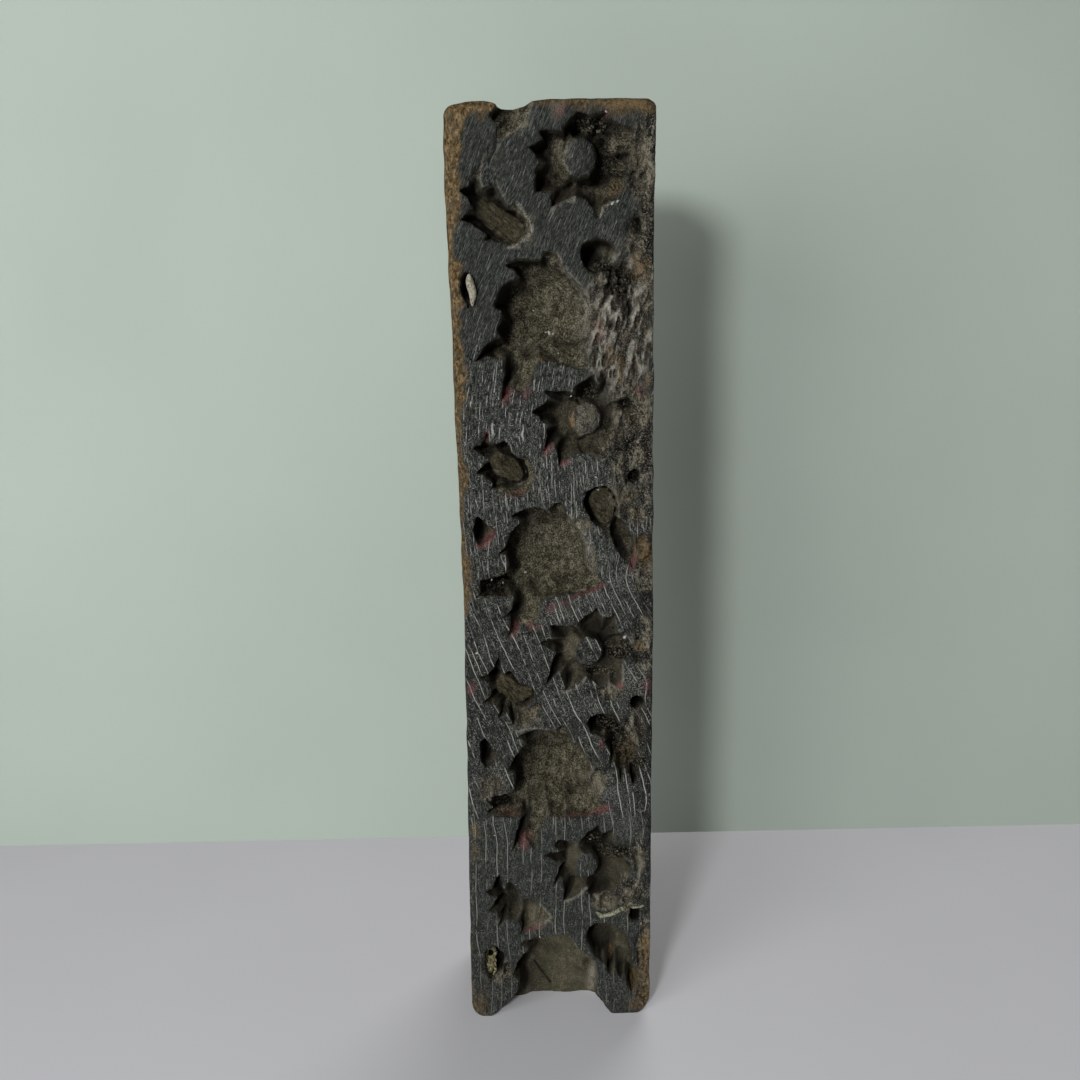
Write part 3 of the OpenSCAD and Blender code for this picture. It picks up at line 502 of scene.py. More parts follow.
# How far the right and lower walls of a hollow lean back, how much brown paste lies on its floor, where the rest is
# black with dye, and how smooth it is: by the hollow's name, or else by its kind
SCOOP = {
    "bloom": 0.16, "flower_1": 0.2, "flower_2": 0.4, "flower_3": 0.65, "flower_4": 0.75, "leaf_4": 0.45,
    "bud_1": 0.25, "bud_3": 0.3, "bud_4": 0.45, "almond": 0.3, "almond_4": 0.05, "dot": 0.05,
}
PASTE = {"bloom": 1.0, "flower": 0.3, "leaf": 0.4, "bud": 0.3, "almond": 0.2, "dot": 0.1, "top": 0.7, "ledge": 0.9}
CALM = {
    "flower_2": 0.5, "flower_3": 0.7, "flower_4": 0.9, "leaf_4": 0.8, "bud_1": 1, "bud_4": 0.8, "bloom_4": 0.9,
    "leaf_1": 0.5,
}
PLAIN_SCOOP = 0.08
nearest = np.full(FLAT, 50.0, np.float32)
paste_map = np.zeros(FLAT, np.float32)
plug_map = np.zeros(FLAT, np.float32)
calm_map = (0.6 * smoothstep(75, 52, Z) + 0.55 * smoothstep(180, 192, Z) + 0 * X).astype(np.float32)
floor_map = worn.copy()
rim = (0.5 + 0.25 * smoothstep(33, 44, X) + 0 * Z).astype(np.float32)


def cut(name, outline, floor, slope):
    """Cuts one hollow: its outline narrows with depth and its floor meets its walls in a round corner."""
    kind = name.split("_")[0]
    xs, zs = zip(*outline)
    ix, iz = span(gx, min(xs) - 3, max(xs) + 3), span(gz, min(zs) - 3, max(zs) + 3)
    x, z = X[ix], Z[:, iz]
    edge = polygon(x, z, outline) + wobble[ix, iz]
    depth = relief(x, z, floor)
    for crest in RIDGES.get(name, ()):
        for a, b in zip(crest, crest[1:]):
            t, apart = to_segment(x, z, a, b)
            crest_d = a[2] + t * (b[2] - a[2]) + RIDGE_FALL * np.maximum(apart - RIDGE_HALF_W, 0)
            depth = soft_min(depth, crest_d, 0.8)
    rough = 1 - 0.7 * CALM.get(name, 0)
    depth = depth + rough * (0.3 * lumps[ix, iz] + 0.16 * grit[ix, iz])
    if name in PLUGS:
        plug_outline, plug_top = PLUGS[name]
        plug = polygon(x, z, plug_outline) + 1.2 * wobble[ix, iz]
        layers = np.round(2.4 * lumps[ix, iz] + 1.2 * wobble[ix, iz]) / 3
        plug_d = plug_top - 0.5 * smoothstep(0, -3, plug) + 0.45 * layers + 0.15 * grit[ix, iz]
        depth = depth + (plug_d - depth) * smoothstep(0.3, -0.5, plug)
    # Walls to the right of a hollow and below it lean back, as the gouge left them
    edge_x, edge_z = np.gradient(edge, VOXEL)
    scoop = SCOOP.get(name, SCOOP.get(kind, PLAIN_SCOOP))
    lean_back = slope + scoop * smoothstep(0.1, 0.9, 0.85 * edge_x - 0.5 * edge_z)
    hollow = soft_max(edge[:, None, :] + lean_back[:, None, :] * D, D - depth[:, None, :], 1.6)
    if name in EYES:
        eye = polygon(x, z, EYES[name][0]) + 0.7 * wobble[ix, iz]
        flare = 0.2 + 0.5 * smoothstep(0.2, 0.9, -np.gradient(eye, VOXEL, axis=0))
        hollow = soft_max(hollow, -(eye[:, None, :] - flare[:, None, :] * D), 0.9)
        edge = np.maximum(edge, -eye)
    solid[ix, :, iz] = soft_max(solid[ix, :, iz], -hollow, rim[ix, iz][:, None, :])
    if name in PLUGS:
        plug_map[ix, iz] = np.maximum(plug_map[ix, iz], smoothstep(0.4, -0.1, plug))
    calm_map[ix, iz] = np.where(edge < 0, CALM.get(name, 0), calm_map[ix, iz])
    closer = edge < np.minimum(nearest[ix, iz], 1.0)
    paste_map[ix, iz] = np.where(closer, PASTE[kind], paste_map[ix, iz])
    nearest[ix, iz] = np.minimum(nearest[ix, iz], edge)
    floor_map[ix, iz] = np.where(edge < -0.3, depth, floor_map[ix, iz])


LEDGE_SLOPE, WALL_SLOPE = 0.3, 0.1
for outline, floor in LEDGES:
    cut("ledge", outline, floor, LEDGE_SLOPE)
for name, (outline, floor) in HOLLOWS.items():
    cut(name, outline, floor, WALL_SLOPE)


def resting(x, z, lift, rounds):
    """Where something seen at x, z in the photograph lies on the carving, lifted a little: true x and z, and depth."""
    d = 0.0
    for _ in range(rounds):
        true_x, true_z = x + d * (x - EYE_X) / EYE_D, z + d * (z - EYE_Z) / EYE_D
        i, j = np.searchsorted(gx, true_x), np.searchsorted(gz, true_z)
        d = float(floor_map[min(i, FLAT[0] - 1), min(j, FLAT[1] - 1)]) - lift
    return true_x, true_z, d


lump_noise = deep_noise(0.9)
lump_map, crumb_shade_map = np.zeros(FLAT, np.float32), np.zeros(FLAT, np.float32)
for heap_x, heap_z, heap_half_x, heap_half_z, count, largest in CRUMBS:
    for spread_x, spread_z, share, flat in rng.uniform(-1, 1, (count, 4)):
        x, z = heap_x + heap_half_x * spread_x, heap_z + heap_half_z * spread_z
        size = largest * (0.35 + 0.65 * abs(share) ** 1.5) if count > 1 else largest
        true_x, true_z, rest_d = resting(x, z, 0.0, 3)
        half_x, half_z, half_d = size * (1 + 0.4 * flat), size * (1 - 0.4 * flat), size * 0.8
        depth = rest_d - 0.25 * size
        reach = size + 1.2
        ix, iz = span(gx, true_x - reach, true_x + reach), span(gz, true_z - reach, true_z + reach)
        idp = span(gd, depth - reach, depth + reach)
        r = np.sqrt(
            ((X[ix][:, None, :] - true_x) / half_x) ** 2
            + ((D[:, idp] - depth) / half_d) ** 2
            + ((Z[:, iz][:, None, :] - true_z) / half_z) ** 2
        )
        crumb = (r - 1) * size * 0.7 + 0.3 * lump_noise[ix, idp, iz]
        solid[ix, idp, iz] = soft_min(solid[ix, idp, iz], np.maximum(crumb, 0.05 - D[:, idp]), 0.3)
        apart = np.hypot((X[ix] - true_x) / half_x, (Z[:, iz] - true_z) / half_z)
        lump_map[ix, iz] = np.maximum(lump_map[ix, iz], smoothstep(1.2, 0.7, apart))
        # A wider oval round each crumb, which later darkens the wood around it: painted shade
        crumb_shade_map[ix, iz] = np.maximum(crumb_shade_map[ix, iz], smoothstep(2.0, 1.1, apart))

# A crack across the lowest bloom's floor
CRACK = [(17.8, 10.4), (19.2, 8.2), (20.4, 6.4), (22.5, 3.0), (22.2, 2.8), (20, 6.2), (18.8, 8.0), (17.5, 10.2)]
CRACK_D, CRACK_WIDEN = 12.2, 0.12
crack = polygon(X, Z, CRACK)
solid = soft_max(solid, -np.maximum(crack[:, None, :] - CRACK_WIDEN, D - CRACK_D), 0.3)

# Housing for the handle in the back
handle_low, handle_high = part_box("handle")
seat = (handle_low.y - FACE_Y) / MM
HOUSING_CLEAR, HOUSING_R = 0.25, 4
mid_x = ((handle_high.x + handle_low.x) / 2 - LEFT_X) / MM
mid_z = (handle_high.z + handle_low.z) / 2 / MM
hx = np.abs(X - mid_x) - (handle_high.x - handle_low.x) / 2 / MM - HOUSING_CLEAR + HOUSING_R
hz = np.abs(Z - mid_z) - (handle_high.z - handle_low.z) / 2 / MM - HOUSING_CLEAR + HOUSING_R
housing = rounded_box(hx, hz, HOUSING_R)
solid = soft_max(solid, -np.maximum(housing[:, None, :], seat - D), 0.3)

roughen = 0.06 * deep_noise(1.6) + 0.1 * deep_noise(5.0)
solid = solid + roughen * smoothstep(0.3, 1.5, D + 0 * solid)

# How convex the surface is nearby, for worn rims, and for concave corners darkened with dirt and painted shade
REACH = 4 if VOXEL < 0.5 else 2


def bending(field, reach):
    """How far the field a few steps away, all around, lies above the field here: positive where it is convex."""
    total = -6 * field
    for axis in range(3):
        for step in (-reach, reach):
            total += np.roll(field, step, axis)
    return total


convex = bending(solid, REACH)


def mesh_from(field, step):
    """Points, in the field's own steps, and faces of a field's zero surface."""
    grid = openvdb.FloatGrid(background=3.0)
    grid.copyFromArray(np.clip(field / step, -3, 3).astype(np.float32))
    points, triangles, quads = grid.convertToPolygons(isovalue=0.0, adaptivity=0.02)
    faces = [tuple(f[::-1]) for f in quads.tolist()] + [tuple(f[::-1]) for f in triangles.tolist()]
    return points, faces


def new_piece(name, points, faces):
    mesh = bpy.data.meshes.new(name)
    mesh.from_pydata(points.tolist() if hasattr(points, "tolist") else points, [], faces)
    mesh.validate()
    mesh.update()
    mesh.shade_smooth()
    piece = bpy.data.objects.new(name, mesh)
    bpy.context.collection.objects.link(piece)
    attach(piece, "root")
    return piece


points, faces = mesh_from(solid, VOXEL)
px, pd, pz = [np.interp(points[:, k], np.arange(len(g)), g) for k, g in enumerate((gx, gd, gz))]
world_points = np.stack([LEFT_X + px * MM, FACE_Y + pd * MM, pz * MM], axis=1)
block = new_piece("carved_block", world_points, faces)
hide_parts("printing_block")


def sample(values, x, z):
    """A map's values at points of the face."""
    u = np.clip((x - gx[0]) / VOXEL, 0, len(gx) - 1.001)
    v = np.clip((z - gz[0]) / VOXEL, 0, len(gz) - 1.001)
    i, j = u.astype(int), v.astype(int)
    a, b = u - i, v - j
    low = values[i, j] * (1 - b) + values[i, j + 1] * b
    high = values[i + 1, j] * (1 - b) + values[i + 1, j + 1] * b
    return low * (1 - a) + high * a


def spots(table, x, z, jitter):
    """How strongly a list of leaning oval spots covers each point."""
    cover = np.zeros(len(x))
    for sx, sz, half_x, half_z, lean, strength in table:
        a = math.radians(lean)
        u = ((x - sx) * math.cos(a) + (z - sz) * math.sin(a)) / half_x
        v = ((z - sz) * math.cos(a) - (x - sx) * math.sin(a)) / half_z
        cover = np.maximum(cover, strength * smoothstep(1.5, 0.5, np.hypot(u, v) + jitter))
    return cover


def trails(table, x, z, jitter):
    """How strongly a list of narrow bands along paths covers each point."""
    cover = np.zeros(len(x))
    for path, width, strength in table:
        width = 0.7 * width
        xs, zs = zip(*path)
        near = np.flatnonzero((x > min(xs) - 2) & (x < max(xs) + 2) & (z > min(zs) - 2) & (z < max(zs) + 2))
        apart = np.full(len(near), 9.0)
        for a, b in zip(path, path[1:]):
            apart = np.minimum(apart, to_segment(x[near], z[near], a, b)[1])
        cover[near] = np.maximum(cover[near], strength * smoothstep(1.5, 0.5, apart / width + jitter[near]))
    return cover


# Pale ridges, partly worn and partly painted light on rims and slopes that face the lamps: a path as the photograph
# shows it, half width, strength
PALE_WEAR_AND_LIGHT = [
    ([(17, 219), (18.6, 216.6), (20.2, 214), (20.4, 212.8), (19, 210.8), (17, 209.4), (14.5, 208.6)], 0.5, 0.8),
    ([(25.4, 207.8), (26.6, 207), (27.3, 205), (27, 203.8)], 0.4, 0.8),
    ([(28.2, 203.2), (30.5, 200.5), (32.5, 198), (33.6, 195), (33.6, 191.5), (32.6, 188)], 1.1, 0.7),
    ([(20.6, 241.5), (19.8, 238.5), (19, 236.6), (16.5, 235.3), (13.5, 233.4)], 0.6, 0.5),
    ([(9.5, 230), (8.6, 227), (8.3, 224), (9, 222.8)], 0.3, 0.6),
    ([(13, 232.5), (11.6, 229), (12, 224), (14.5, 219)], 0.25, 0.4),
    ([(25.2, 217.6), (27.5, 218.8), (30.5, 220)], 0.4, 0.7),
    ([(36.8, 215.4), (37.4, 217.8), (39.4, 218.6), (41.2, 219.2)], 0.35, 0.9),
    ([(31, 233.2), (28.8, 231), (28.2, 228.6), (29, 226.4), (30, 225.4)], 0.4, 0.4),
    ([(17.8, 154.5), (17.6, 152.5), (16.6, 151.2), (15.4, 150.9)], 0.35, 0.8),
    ([(38.5, 150), (40.5, 148), (41.3, 145), (41, 141.5)], 0.25, 0.5),
    ([(29, 142.5), (31, 140), (33, 136), (33.5, 131)], 1.0, 0.6),
    ([(26.8, 95.6), (29.5, 96.3), (31.6, 98), (32.6, 99.6)], 0.45, 0.6),
    ([(38.8, 101), (38.5, 95.5)], 0.5, 0.5),
    ([(42.3, 103), (42.2, 96)], 0.5, 0.5),
    ([(26.8, 35.4), (28.8, 36), (30.8, 37.4), (32.2, 39)], 0.5, 0.7),
    ([(20.6, 28.6), (22.4, 30.6), (20.6, 33.2), (19.4, 34.6)], 0.35, 0.6),
    ([(13.4, 84.6), (17, 85.6), (20, 85.4), (24.4, 85)], 0.4, 0.6),
    ([(33.8, 16), (33.7, 12), (33.3, 8.8)], 1.5, 0.6),
    ([(34.4, 37), (36.5, 35), (38, 34.5)], 0.5, 0.6),
    ([(46.6, 50), (46.8, 44), (46, 40)], 0.5, 0.5),
    ([(27.6, 24.6), (28.8, 22.4), (30.4, 20)], 0.3, 0.5),
]

# Stains of dye, bare wood, and dust with painted light on lit slopes, as the photograph shows them: place, half sizes,
# lean in degrees, strength
PINK = [
    (27.4, 239.8, 1.2, 2, -15, 0.5), (38.4, 239.2, 0.6, 1, 0, 0.9), (13.4, 173.6, 0.8, 1.8, -25, 1),
    (15.6, 174.4, 0.5, 1, 0, 0.8), (18.2, 173.8, 0.9, 1.8, -20, 0.5), (8.2, 163.6, 0.5, 1.4, 0, 1),
    (23.3, 159.7, 0.7, 1.3, -20, 1), (24.6, 160.4, 0.4, 0.9, 0, 0.8), (27.6, 156.3, 1.5, 0.7, 25, 1),
    (16, 148.8, 3.6, 0.8, 15, 0.45), (8.2, 137.4, 1.0, 2.0, -35, 0.9), (6.3, 135.4, 1.3, 0.6, 10, 0.9),
    (45.0, 131.0, 0.7, 1.7, -10, 1), (44.6, 129.0, 0.6, 0.9, 0, 1), (33.2, 122.7, 3.8, 0.45, 18, 1),
    (36.9, 124.3, 1.4, 0.7, 30, 0.9), (23.5, 118.3, 1, 0.9, 0, 0.8), (27, 119.6, 2, 0.8, 0, 0.5),
    (13.8, 112.8, 0.9, 2, -20, 1), (18.3, 113.8, 0.9, 1.3, 0, 0.8), (20.2, 113.5, 0.8, 0.5, 0, 0.6),
    (2.2, 97.3, 0.7, 2, 0, 1), (49.2, 96.5, 0.5, 2.6, 0, 0.9), (41.6, 97, 0.9, 0.9, 0, 1),
    (36.7, 80.3, 0.5, 1.9, 5, 0.9), (37, 62.6, 2.6, 0.6, 14, 1), (12, 62, 3, 1.2, 0, 0.45),
    (31, 60.9, 6, 0.5, 4, 0.8), (15.9, 53.4, 1.3, 2.6, -8, 0.8), (17.8, 27.3, 2.2, 1, 20, 0.5),
    (36.5, 188.5, 1.6, 2.5, 0, 0.4), (46.5, 174, 1.2, 1.5, 0, 0.4),
]
OCHRE = [
    (29.6, 167.3, 0.8, 1.8, 0, 1), (47.8, 133.5, 2.4, 3, 0, 1), (46.6, 107.8, 1, 1.2, 0, 0.9),
    (48.6, 14, 1.8, 10, 0, 0.8), (46.2, 204, 2.2, 3, 0, 0.7), (41.6, 178.8, 1, 3, 0, 0.8),
    (48.3, 176.6, 0.6, 1.5, 0, 0.9), (43, 241, 5, 1.3, 0, 0.9), (22.4, 182.2, 0.9, 0.7, 0, 0.9),
    (43.6, 79, 2.4, 3.4, -30, 0.25), (38.7, 20, 0.6, 2.2, 0, 0.7), (39.8, 241, 2.5, 0.8, 0, 0.6),
    (39, 183, 1.5, 2, 0, 0.5), (2.2, 57, 0.8, 1.8, 0, 0.7), (2.0, 50, 0.7, 3, 0, 0.6),
    (45.5, 10.5, 1.6, 4.5, 0, 0.6), (40.8, 222.4, 2.4, 1.6, 30, 0.4),
]
DUST_AND_PAINTED_LIGHT = [
    (40, 231.6, 1.3, 1.8, 0, 0.45), (42, 226.8, 1, 0.9, 0, 0.5), (37.2, 200.8, 1.1, 1.4, 0, 0.6),
    (45.8, 203.2, 1.1, 1.5, 0, 0.6), (41.5, 21, 1.8, 3.5, -10, 0.4), (37, 18.5, 0.8, 2.5, 0, 0.4),
    (43.4, 15.6, 0.8, 3, -10, 0.4), (39.6, 14.6, 0.6, 2.4, -10, 0.4), (46.4, 227, 1.8, 7, 0, 0.5),
    (43.4, 147.6, 2.2, 2.0, -30, 1), (17, 88.6, 4.4, 2.6, 25, 0.6), (18.6, 31, 3.2, 3.6, 0, 0.75),
    (34.6, 70, 1.4, 4, 10, 0.95), (34.2, 130.6, 1.3, 4.2, 5, 0.9), (34.0, 194, 0.9, 5, 0, 0.6),
    (33.2, 12.2, 1.5, 4.4, 0, 1), (17.4, 237.2, 2.6, 2.6, 0, 0.5), (31.6, 140.6, 2.6, 1.2, -30, 0.9),
    (38.6, 34.6, 2.4, 2, 0, 0.7), (20, 213, 0.9, 3, 0, 0.6), (28.6, 108, 1.8, 3.4, -20, 0.7),
    (28.4, 48.6, 1.8, 3.6, -10, 0.5), (26.8, 240, 1.8, 1.8, -20, 0.7), (42.8, 110.4, 0.6, 0.6, 0, 1),
    (46.8, 47, 1.0, 3.4, 0, 0.5), (6.5, 69, 3, 4, 0, 0.3), (21.8, 63, 0.6, 1.8, 10, 0.6),
    (27, 63.4, 0.6, 1.8, 10, 0.5), (36, 83.6, 1.2, 1, 0, 0.4), (47, 91, 1.4, 1.2, 30, 0.5),
    (43.6, 35.8, 2, 3, 30, 0.4), (28.6, 229.6, 0.8, 3.4, -15, 0.7), (33.3, 167.2, 3.2, 4, 0, 0.7),
    (27, 231.6, 1.2, 2.4, 0, 0.8), (43.4, 232.2, 1.8, 2, 0, 0.8),
]

# Places where the dye lies thick and black, or where shade is painted black into the hollows, listed the same way, and
# by how much each is widened
BLACK_SPREAD = 1.25
BLACK = [
    (42.4, 229.4, 2, 0.6, 15, 0.95), (43.8, 226.4, 0.5, 1.3, 20, 0.95), (40.6, 225, 2, 0.5, -10, 0.9),
    (38, 234.6, 1.5, 0.8, -30, 0.9), (36.2, 236.2, 2.2, 0.7, -20, 0.8), (31.5, 238.4, 2.4, 0.8, -20, 0.8),
    (41, 50, 3, 1.2, 0, 0.8), (47.4, 204.8, 0.5, 1.6, 0, 0.7), (44.4, 201.6, 0.6, 1.8, -15, 0.8),
    (38.9, 198.6, 0.5, 2, -10, 0.8), (17, 198, 2.6, 5.5, -10, 0.35), (20.5, 203, 4.5, 1.8, 0, 0.35),
    (15.6, 136.5, 2.2, 5.5, -10, 0.35), (20, 142.6, 5, 1.8, 0, 0.35), (16.4, 76.5, 2.2, 5.5, -15, 0.35),
    (21.5, 82.6, 5.5, 2, 0, 0.4), (20, 22, 4.5, 1.6, 0, 0.3), (45.7, 92.8, 1.5, 1.3, 0, 1),
    (45.6, 31, 1.5, 1.5, 0, 1), (8.2, 18, 1.0, 2.4, 5, 1), (35.4, 87.4, 2, 1.4, -20, 0.9),
    (39.4, 86.4, 2.4, 2, -20, 0.6), (16, 13, 2.6, 6, -20, 0.35), (14, 11, 1.6, 5, -10, 0.5),
    (12.8, 238.6, 1.6, 1.5, 0, 0.5), (9, 124.8, 4, 2.2, 0, 0.95), (44.4, 232.2, 0.5, 0.7, 0, 1),
    (25.2, 230.4, 0.5, 0.9, 0, 1), (35, 53.5, 2.4, 2.4, 30, 0.9), (38.5, 51, 2.5, 2.5, 0, 0.5),
    (43.5, 49.6, 2, 1.2, 0, 0.7), (24.2, 48.4, 2, 1.2, 0, 0.6), (26, 51, 1.6, 1.6, 0, 0.5),
    (25.3, 44, 1.2, 2.6, -10, 0.8), (35.2, 40.8, 2.4, 3, 0, 0.7), (27, 40, 0.8, 3, -5, 0.5),
    (34.8, 113, 2.4, 2.6, 20, 0.7), (38.5, 112, 1.6, 2, 0, 0.5), (26, 112, 2, 1.6, 0, 0.6),
    (37.8, 104.6, 2, 1.4, 0, 0.6), (24.6, 104, 1, 3, -15, 0.8), (27.6, 101.6, 0.9, 2, 0, 0.5),
    (7.5, 38.5, 2.2, 2.6, 0, 0.6), (12.3, 37.5, 1.4, 2.6, -15, 0.5), (10.5, 33.5, 2.4, 2.4, -20, 0.4),
    (36, 25.5, 2.6, 2.2, -20, 0.4), (38.3, 19.5, 1, 3.4, 0, 0.2), (42, 15, 1, 3, 0, 0.6),
    (24.5, 171.5, 2, 2, 0, 0.5), (27.5, 172.6, 2, 1, 0, 0.4), (37.6, 171, 2, 2.4, 0, 0.5),
    (38.3, 167, 1.4, 2, 0, 0.5), (36.5, 176, 1.5, 1.6, 0, 0.7), (8.8, 65, 3.4, 1.4, 20, 0.9),
    (34.4, 87, 1.5, 2, 0, 0.9), (24, 101.5, 1.2, 2.4, -15, 0.8), (33.6, 101.8, 1.4, 1, 0, 0.9),
    (41, 106.8, 2.6, 1.4, 0, 0.5), (24.6, 42.5, 1.2, 2.8, -20, 0.7), (35, 55.4, 1.8, 1.4, 35, 0.9),
    (35, 40, 1.8, 1.8, 0, 0.6), (33.5, 175.4, 2.2, 1.8, 30, 0.9), (43.2, 170.6, 1.6, 0.8, 0, 0.9),
    (6.4, 159.8, 1.6, 1.2, 0, 0.9), (22, 232.2, 2.2, 1.4, 0, 1), (23.6, 234.6, 1.2, 1, 0, 1),
    (22.6, 224.2, 1.4, 2, 0, 0.9), (32, 237.6, 2.4, 1.2, 0, 0.9), (4.8, 222, 1.6, 1.4, 0, 0.9),
    (6.4, 220.5, 1, 3, 0, 0.9), (5.4, 215.4, 1.8, 0.9, -10, 0.9), (33.4, 24.6, 1.2, 2.4, 0, 0.6),
    (36.6, 225.6, 2, 2.6, 0, 0.8), (37.6, 232, 1.4, 2.5, 0, 0.7), (13.2, 197, 1.8, 4.5, -10, 0.9),
    (13.6, 190.5, 1.6, 2.6, 0, 0.8), (8, 183.2, 3, 1.4, 30, 0.9), (13.4, 177, 0.8, 3.4, -8, 0.8),
    (40.5, 203, 2.5, 1.6, 0, 0.8), (42.5, 198.5, 1.2, 3, -10, 0.8), (43.6, 194, 0.9, 2.2, -10, 0.7),
    (24, 162.5, 1.1, 2.2, 0, 0.8), (21.6, 169, 1.6, 0.8, 0, 0.8), (5.6, 140.5, 1.1, 2, 0, 0.9),
    (5.6, 80, 1.2, 2.6, 0, 0.95), (9.3, 102.6, 1, 1.8, 0, 0.8), (8.4, 40.5, 1.2, 2, 0, 0.8),
    (14.2, 118, 1.2, 4, -8, 0.8), (13.6, 75.5, 1.4, 2.6, 0, 0.7), (15.2, 58, 1.2, 3.6, -10, 0.7),
    (40.4, 74.2, 0.8, 1.8, 0, 0.6), (45.2, 71.4, 0.9, 1.6, 0, 0.9), (46.4, 213.6, 0.9, 1.6, 0, 1),
    (45, 152.4, 1.2, 1.4, -20, 1), (34, 206.8, 1.6, 2.2, 0, 0.8), (12.2, 239.6, 1.6, 1.2, 0, 0.6),
    (37.6, 82.4, 1, 1, 0, 0.5),
]

# Loose grains of dirt, and ground rubbed white, listed the same way
GRAINS = [
    (41, 106.8, 3.4, 2.4, 10, 1), (34.6, 101.8, 2.4, 1, 0, 1), (39, 100.5, 1.2, 1.6, 0, 0.5),
    (41, 49.8, 3.8, 1.6, 0, 1), (34.6, 54.2, 2, 1.4, 0, 0.8), (38, 51.2, 1.4, 1, 0, 0.7),
    (38.5, 86.5, 3, 2.2, -20, 1), (41, 82.5, 2.6, 3, -30, 1), (43.5, 78.5, 2.2, 3.2, -20, 1),
    (46, 75.8, 2.2, 1.4, 0, 1), (33, 174, 2.4, 2, 0, 0.9), (43, 170.8, 2.2, 1.2, 0, 0.9),
    (35, 236.6, 3.6, 1.4, 0, 1), (43.4, 232.4, 2.2, 2, 0, 0.9), (41.2, 227, 2.8, 1.8, 0, 0.9),
    (37.6, 229, 1.2, 5, 0, 0.5), (25.6, 232, 1.2, 1.6, 0, 0.6), (38, 203.6, 3.4, 1.4, 0, 1),
    (41.5, 201, 2.6, 3.2, 0, 1), (9, 124.8, 4.2, 2.2, 0, 0.8), (11, 127.6, 2, 0.8, 20, 0.7),
    (7, 160, 2, 1.4, 0, 0.6), (9, 65.4, 3.4, 1.2, 15, 0.7), (44, 152.4, 2.2, 1.8, 0, 0.7),
    (45.6, 213.4, 1.6, 2.4, 0, 0.5), (46, 10, 2, 5, 0, 0.4), (39, 162, 3, 5, 0, 0.4), (43, 146, 2.4, 2.6, 0, 0.6),
    (47.6, 132, 2, 4, 0, 0.6), (45.4, 223, 1.8, 4, 0, 0.5),
]
CHALK = [
    (26, 117, 4, 1.6, 0, 0.7), (45, 99, 3, 4, 0, 0.7), (43, 91, 3, 3, 0, 0.5), (9, 71, 3, 3, 0, 0.7),
    (24, 93, 3, 3, 30, 0.5), (40, 67, 3, 3, 0, 0.5), (36, 120.5, 4, 2, 0, 0.5), (42, 125, 4, 2.4, 0, 0.5),
    (32, 92, 4, 3, 0, 0.5), (20, 118, 2, 3, 0, 0.5), (44, 58, 3, 3, 0, 0.4), (33, 153, 4, 3, 0, 0.3),
]

surface = sample(worn, px, pz)
outline_d = sample(nearest, px, pz)
below = pd - surface
mottle = sample(flat_noise(1.6, 1.6), px, pz)
# Where the photograph's eye sees each point, on the plane of the face
seen_x = EYE_X + (px - EYE_X) * EYE_D / (EYE_D + pd)
seen_z = EYE_Z + (pz - EYE_Z) * EYE_D / (EYE_D + pd)
on_face = smoothstep(1.6, 0.4, below) * (pd < 6)
inside = smoothstep(0.9, 0.0, outline_d) * smoothstep(16, 13, pd)
sunk = smoothstep(0.3, 1.3, below) * inside
outer = np.clip(1 - on_face - inside, 0, 1)
front = 1 - outer
step_at = tuple(np.clip(np.rint(points).astype(int), 0, np.array(DEEP) - 1).T)
bend = convex[step_at] / REACH * np.where(pd > FINE_D, VOXEL / BACK_STEP, 1)
rim_wear = smoothstep(0.35, 1.3, bend)
# Concave corners, to be darkened: dirt, and painted shade
corner_dirt = smoothstep(-0.3, -1.4, bend)

# Bare wood: heights and its width along the left edge, places and its lower limit along the top, spots on the feet
BARE_LEFT = (
    [0, 100, 119, 124, 132, 137, 147, 152, 155, 161, 168, 180, 187, 193, 196, 200, 204, 207, 212, 218, 226, 236, 242],
    [0, 0, 1.9, 3, 2.9, 1.8, 1.5, 2.8, 3, 1.6, 2.5, 3.3, 2.3, 2.2, 3.3, 2.5, 3.4, 1.5, 1.8, 3.3, 3.2, 4.4, 4.8],
)
BARE_TOP = (
    [0, 9, 11, 14, 20, 25, 30, 38, 42, 50],
    [237.6, 238.2, 239.2, 239, 241, 240.2, 239.6, 239.4, 238.8, 239.4],
)
BARE_FEET = [(2, 3, 2.4, 4.6, 0, 0.55), (47, 3, 3.5, 2.6, 0, 0.6), (48.5, 21, 1.2, 3, 0, 0.7)]
bare_left = np.interp(pz, *BARE_LEFT) + 0.7 * mottle
bare = smoothstep(0.5, -0.5, px - bare_left)
patchy = sample(flat_noise(3.2, 2.2), px, pz)
bare_top = smoothstep(-0.5, 0.4, pz - np.interp(px, *BARE_TOP) - 0.9 * mottle - 0.9 * patchy)
bare_top = bare_top * (1 - smoothstep(18, 24, px) * (0.35 + 0.45 * smoothstep(-0.1, 0.5, patchy)))
bare = np.maximum(bare, bare_top)
bare = np.maximum(bare, spots(BARE_FEET, px, pz, 0.3 * mottle))
bare = bare * (1 - inside * smoothstep(0.6, 1.4, below)) * np.maximum(front, smoothstep(5, 2, pd))
jitter = 0.35 * mottle
pink = 0.95 * spots(PINK, seen_x, seen_z, jitter) * front
ochre = spots(OCHRE, seen_x, seen_z, jitter) * front
# Pale dust, and painted light on slopes that face the lamps
dust = spots(DUST_AND_PAINTED_LIGHT, seen_x, seen_z, jitter) * front
crumbs = sample(lump_map, px, pz) * smoothstep(0.5, 2, below) * front
decay = sample(rot, px, pz) * (pd < 9) * front
fade = smoothstep(1.5, 13, pd + 3 * sample(fibre, px, pz)) * outer
# Pale trails: wear, and painted light on lit rims and slopes
pale = trails(PALE_WEAR_AND_LIGHT, seen_x, seen_z, jitter) * front
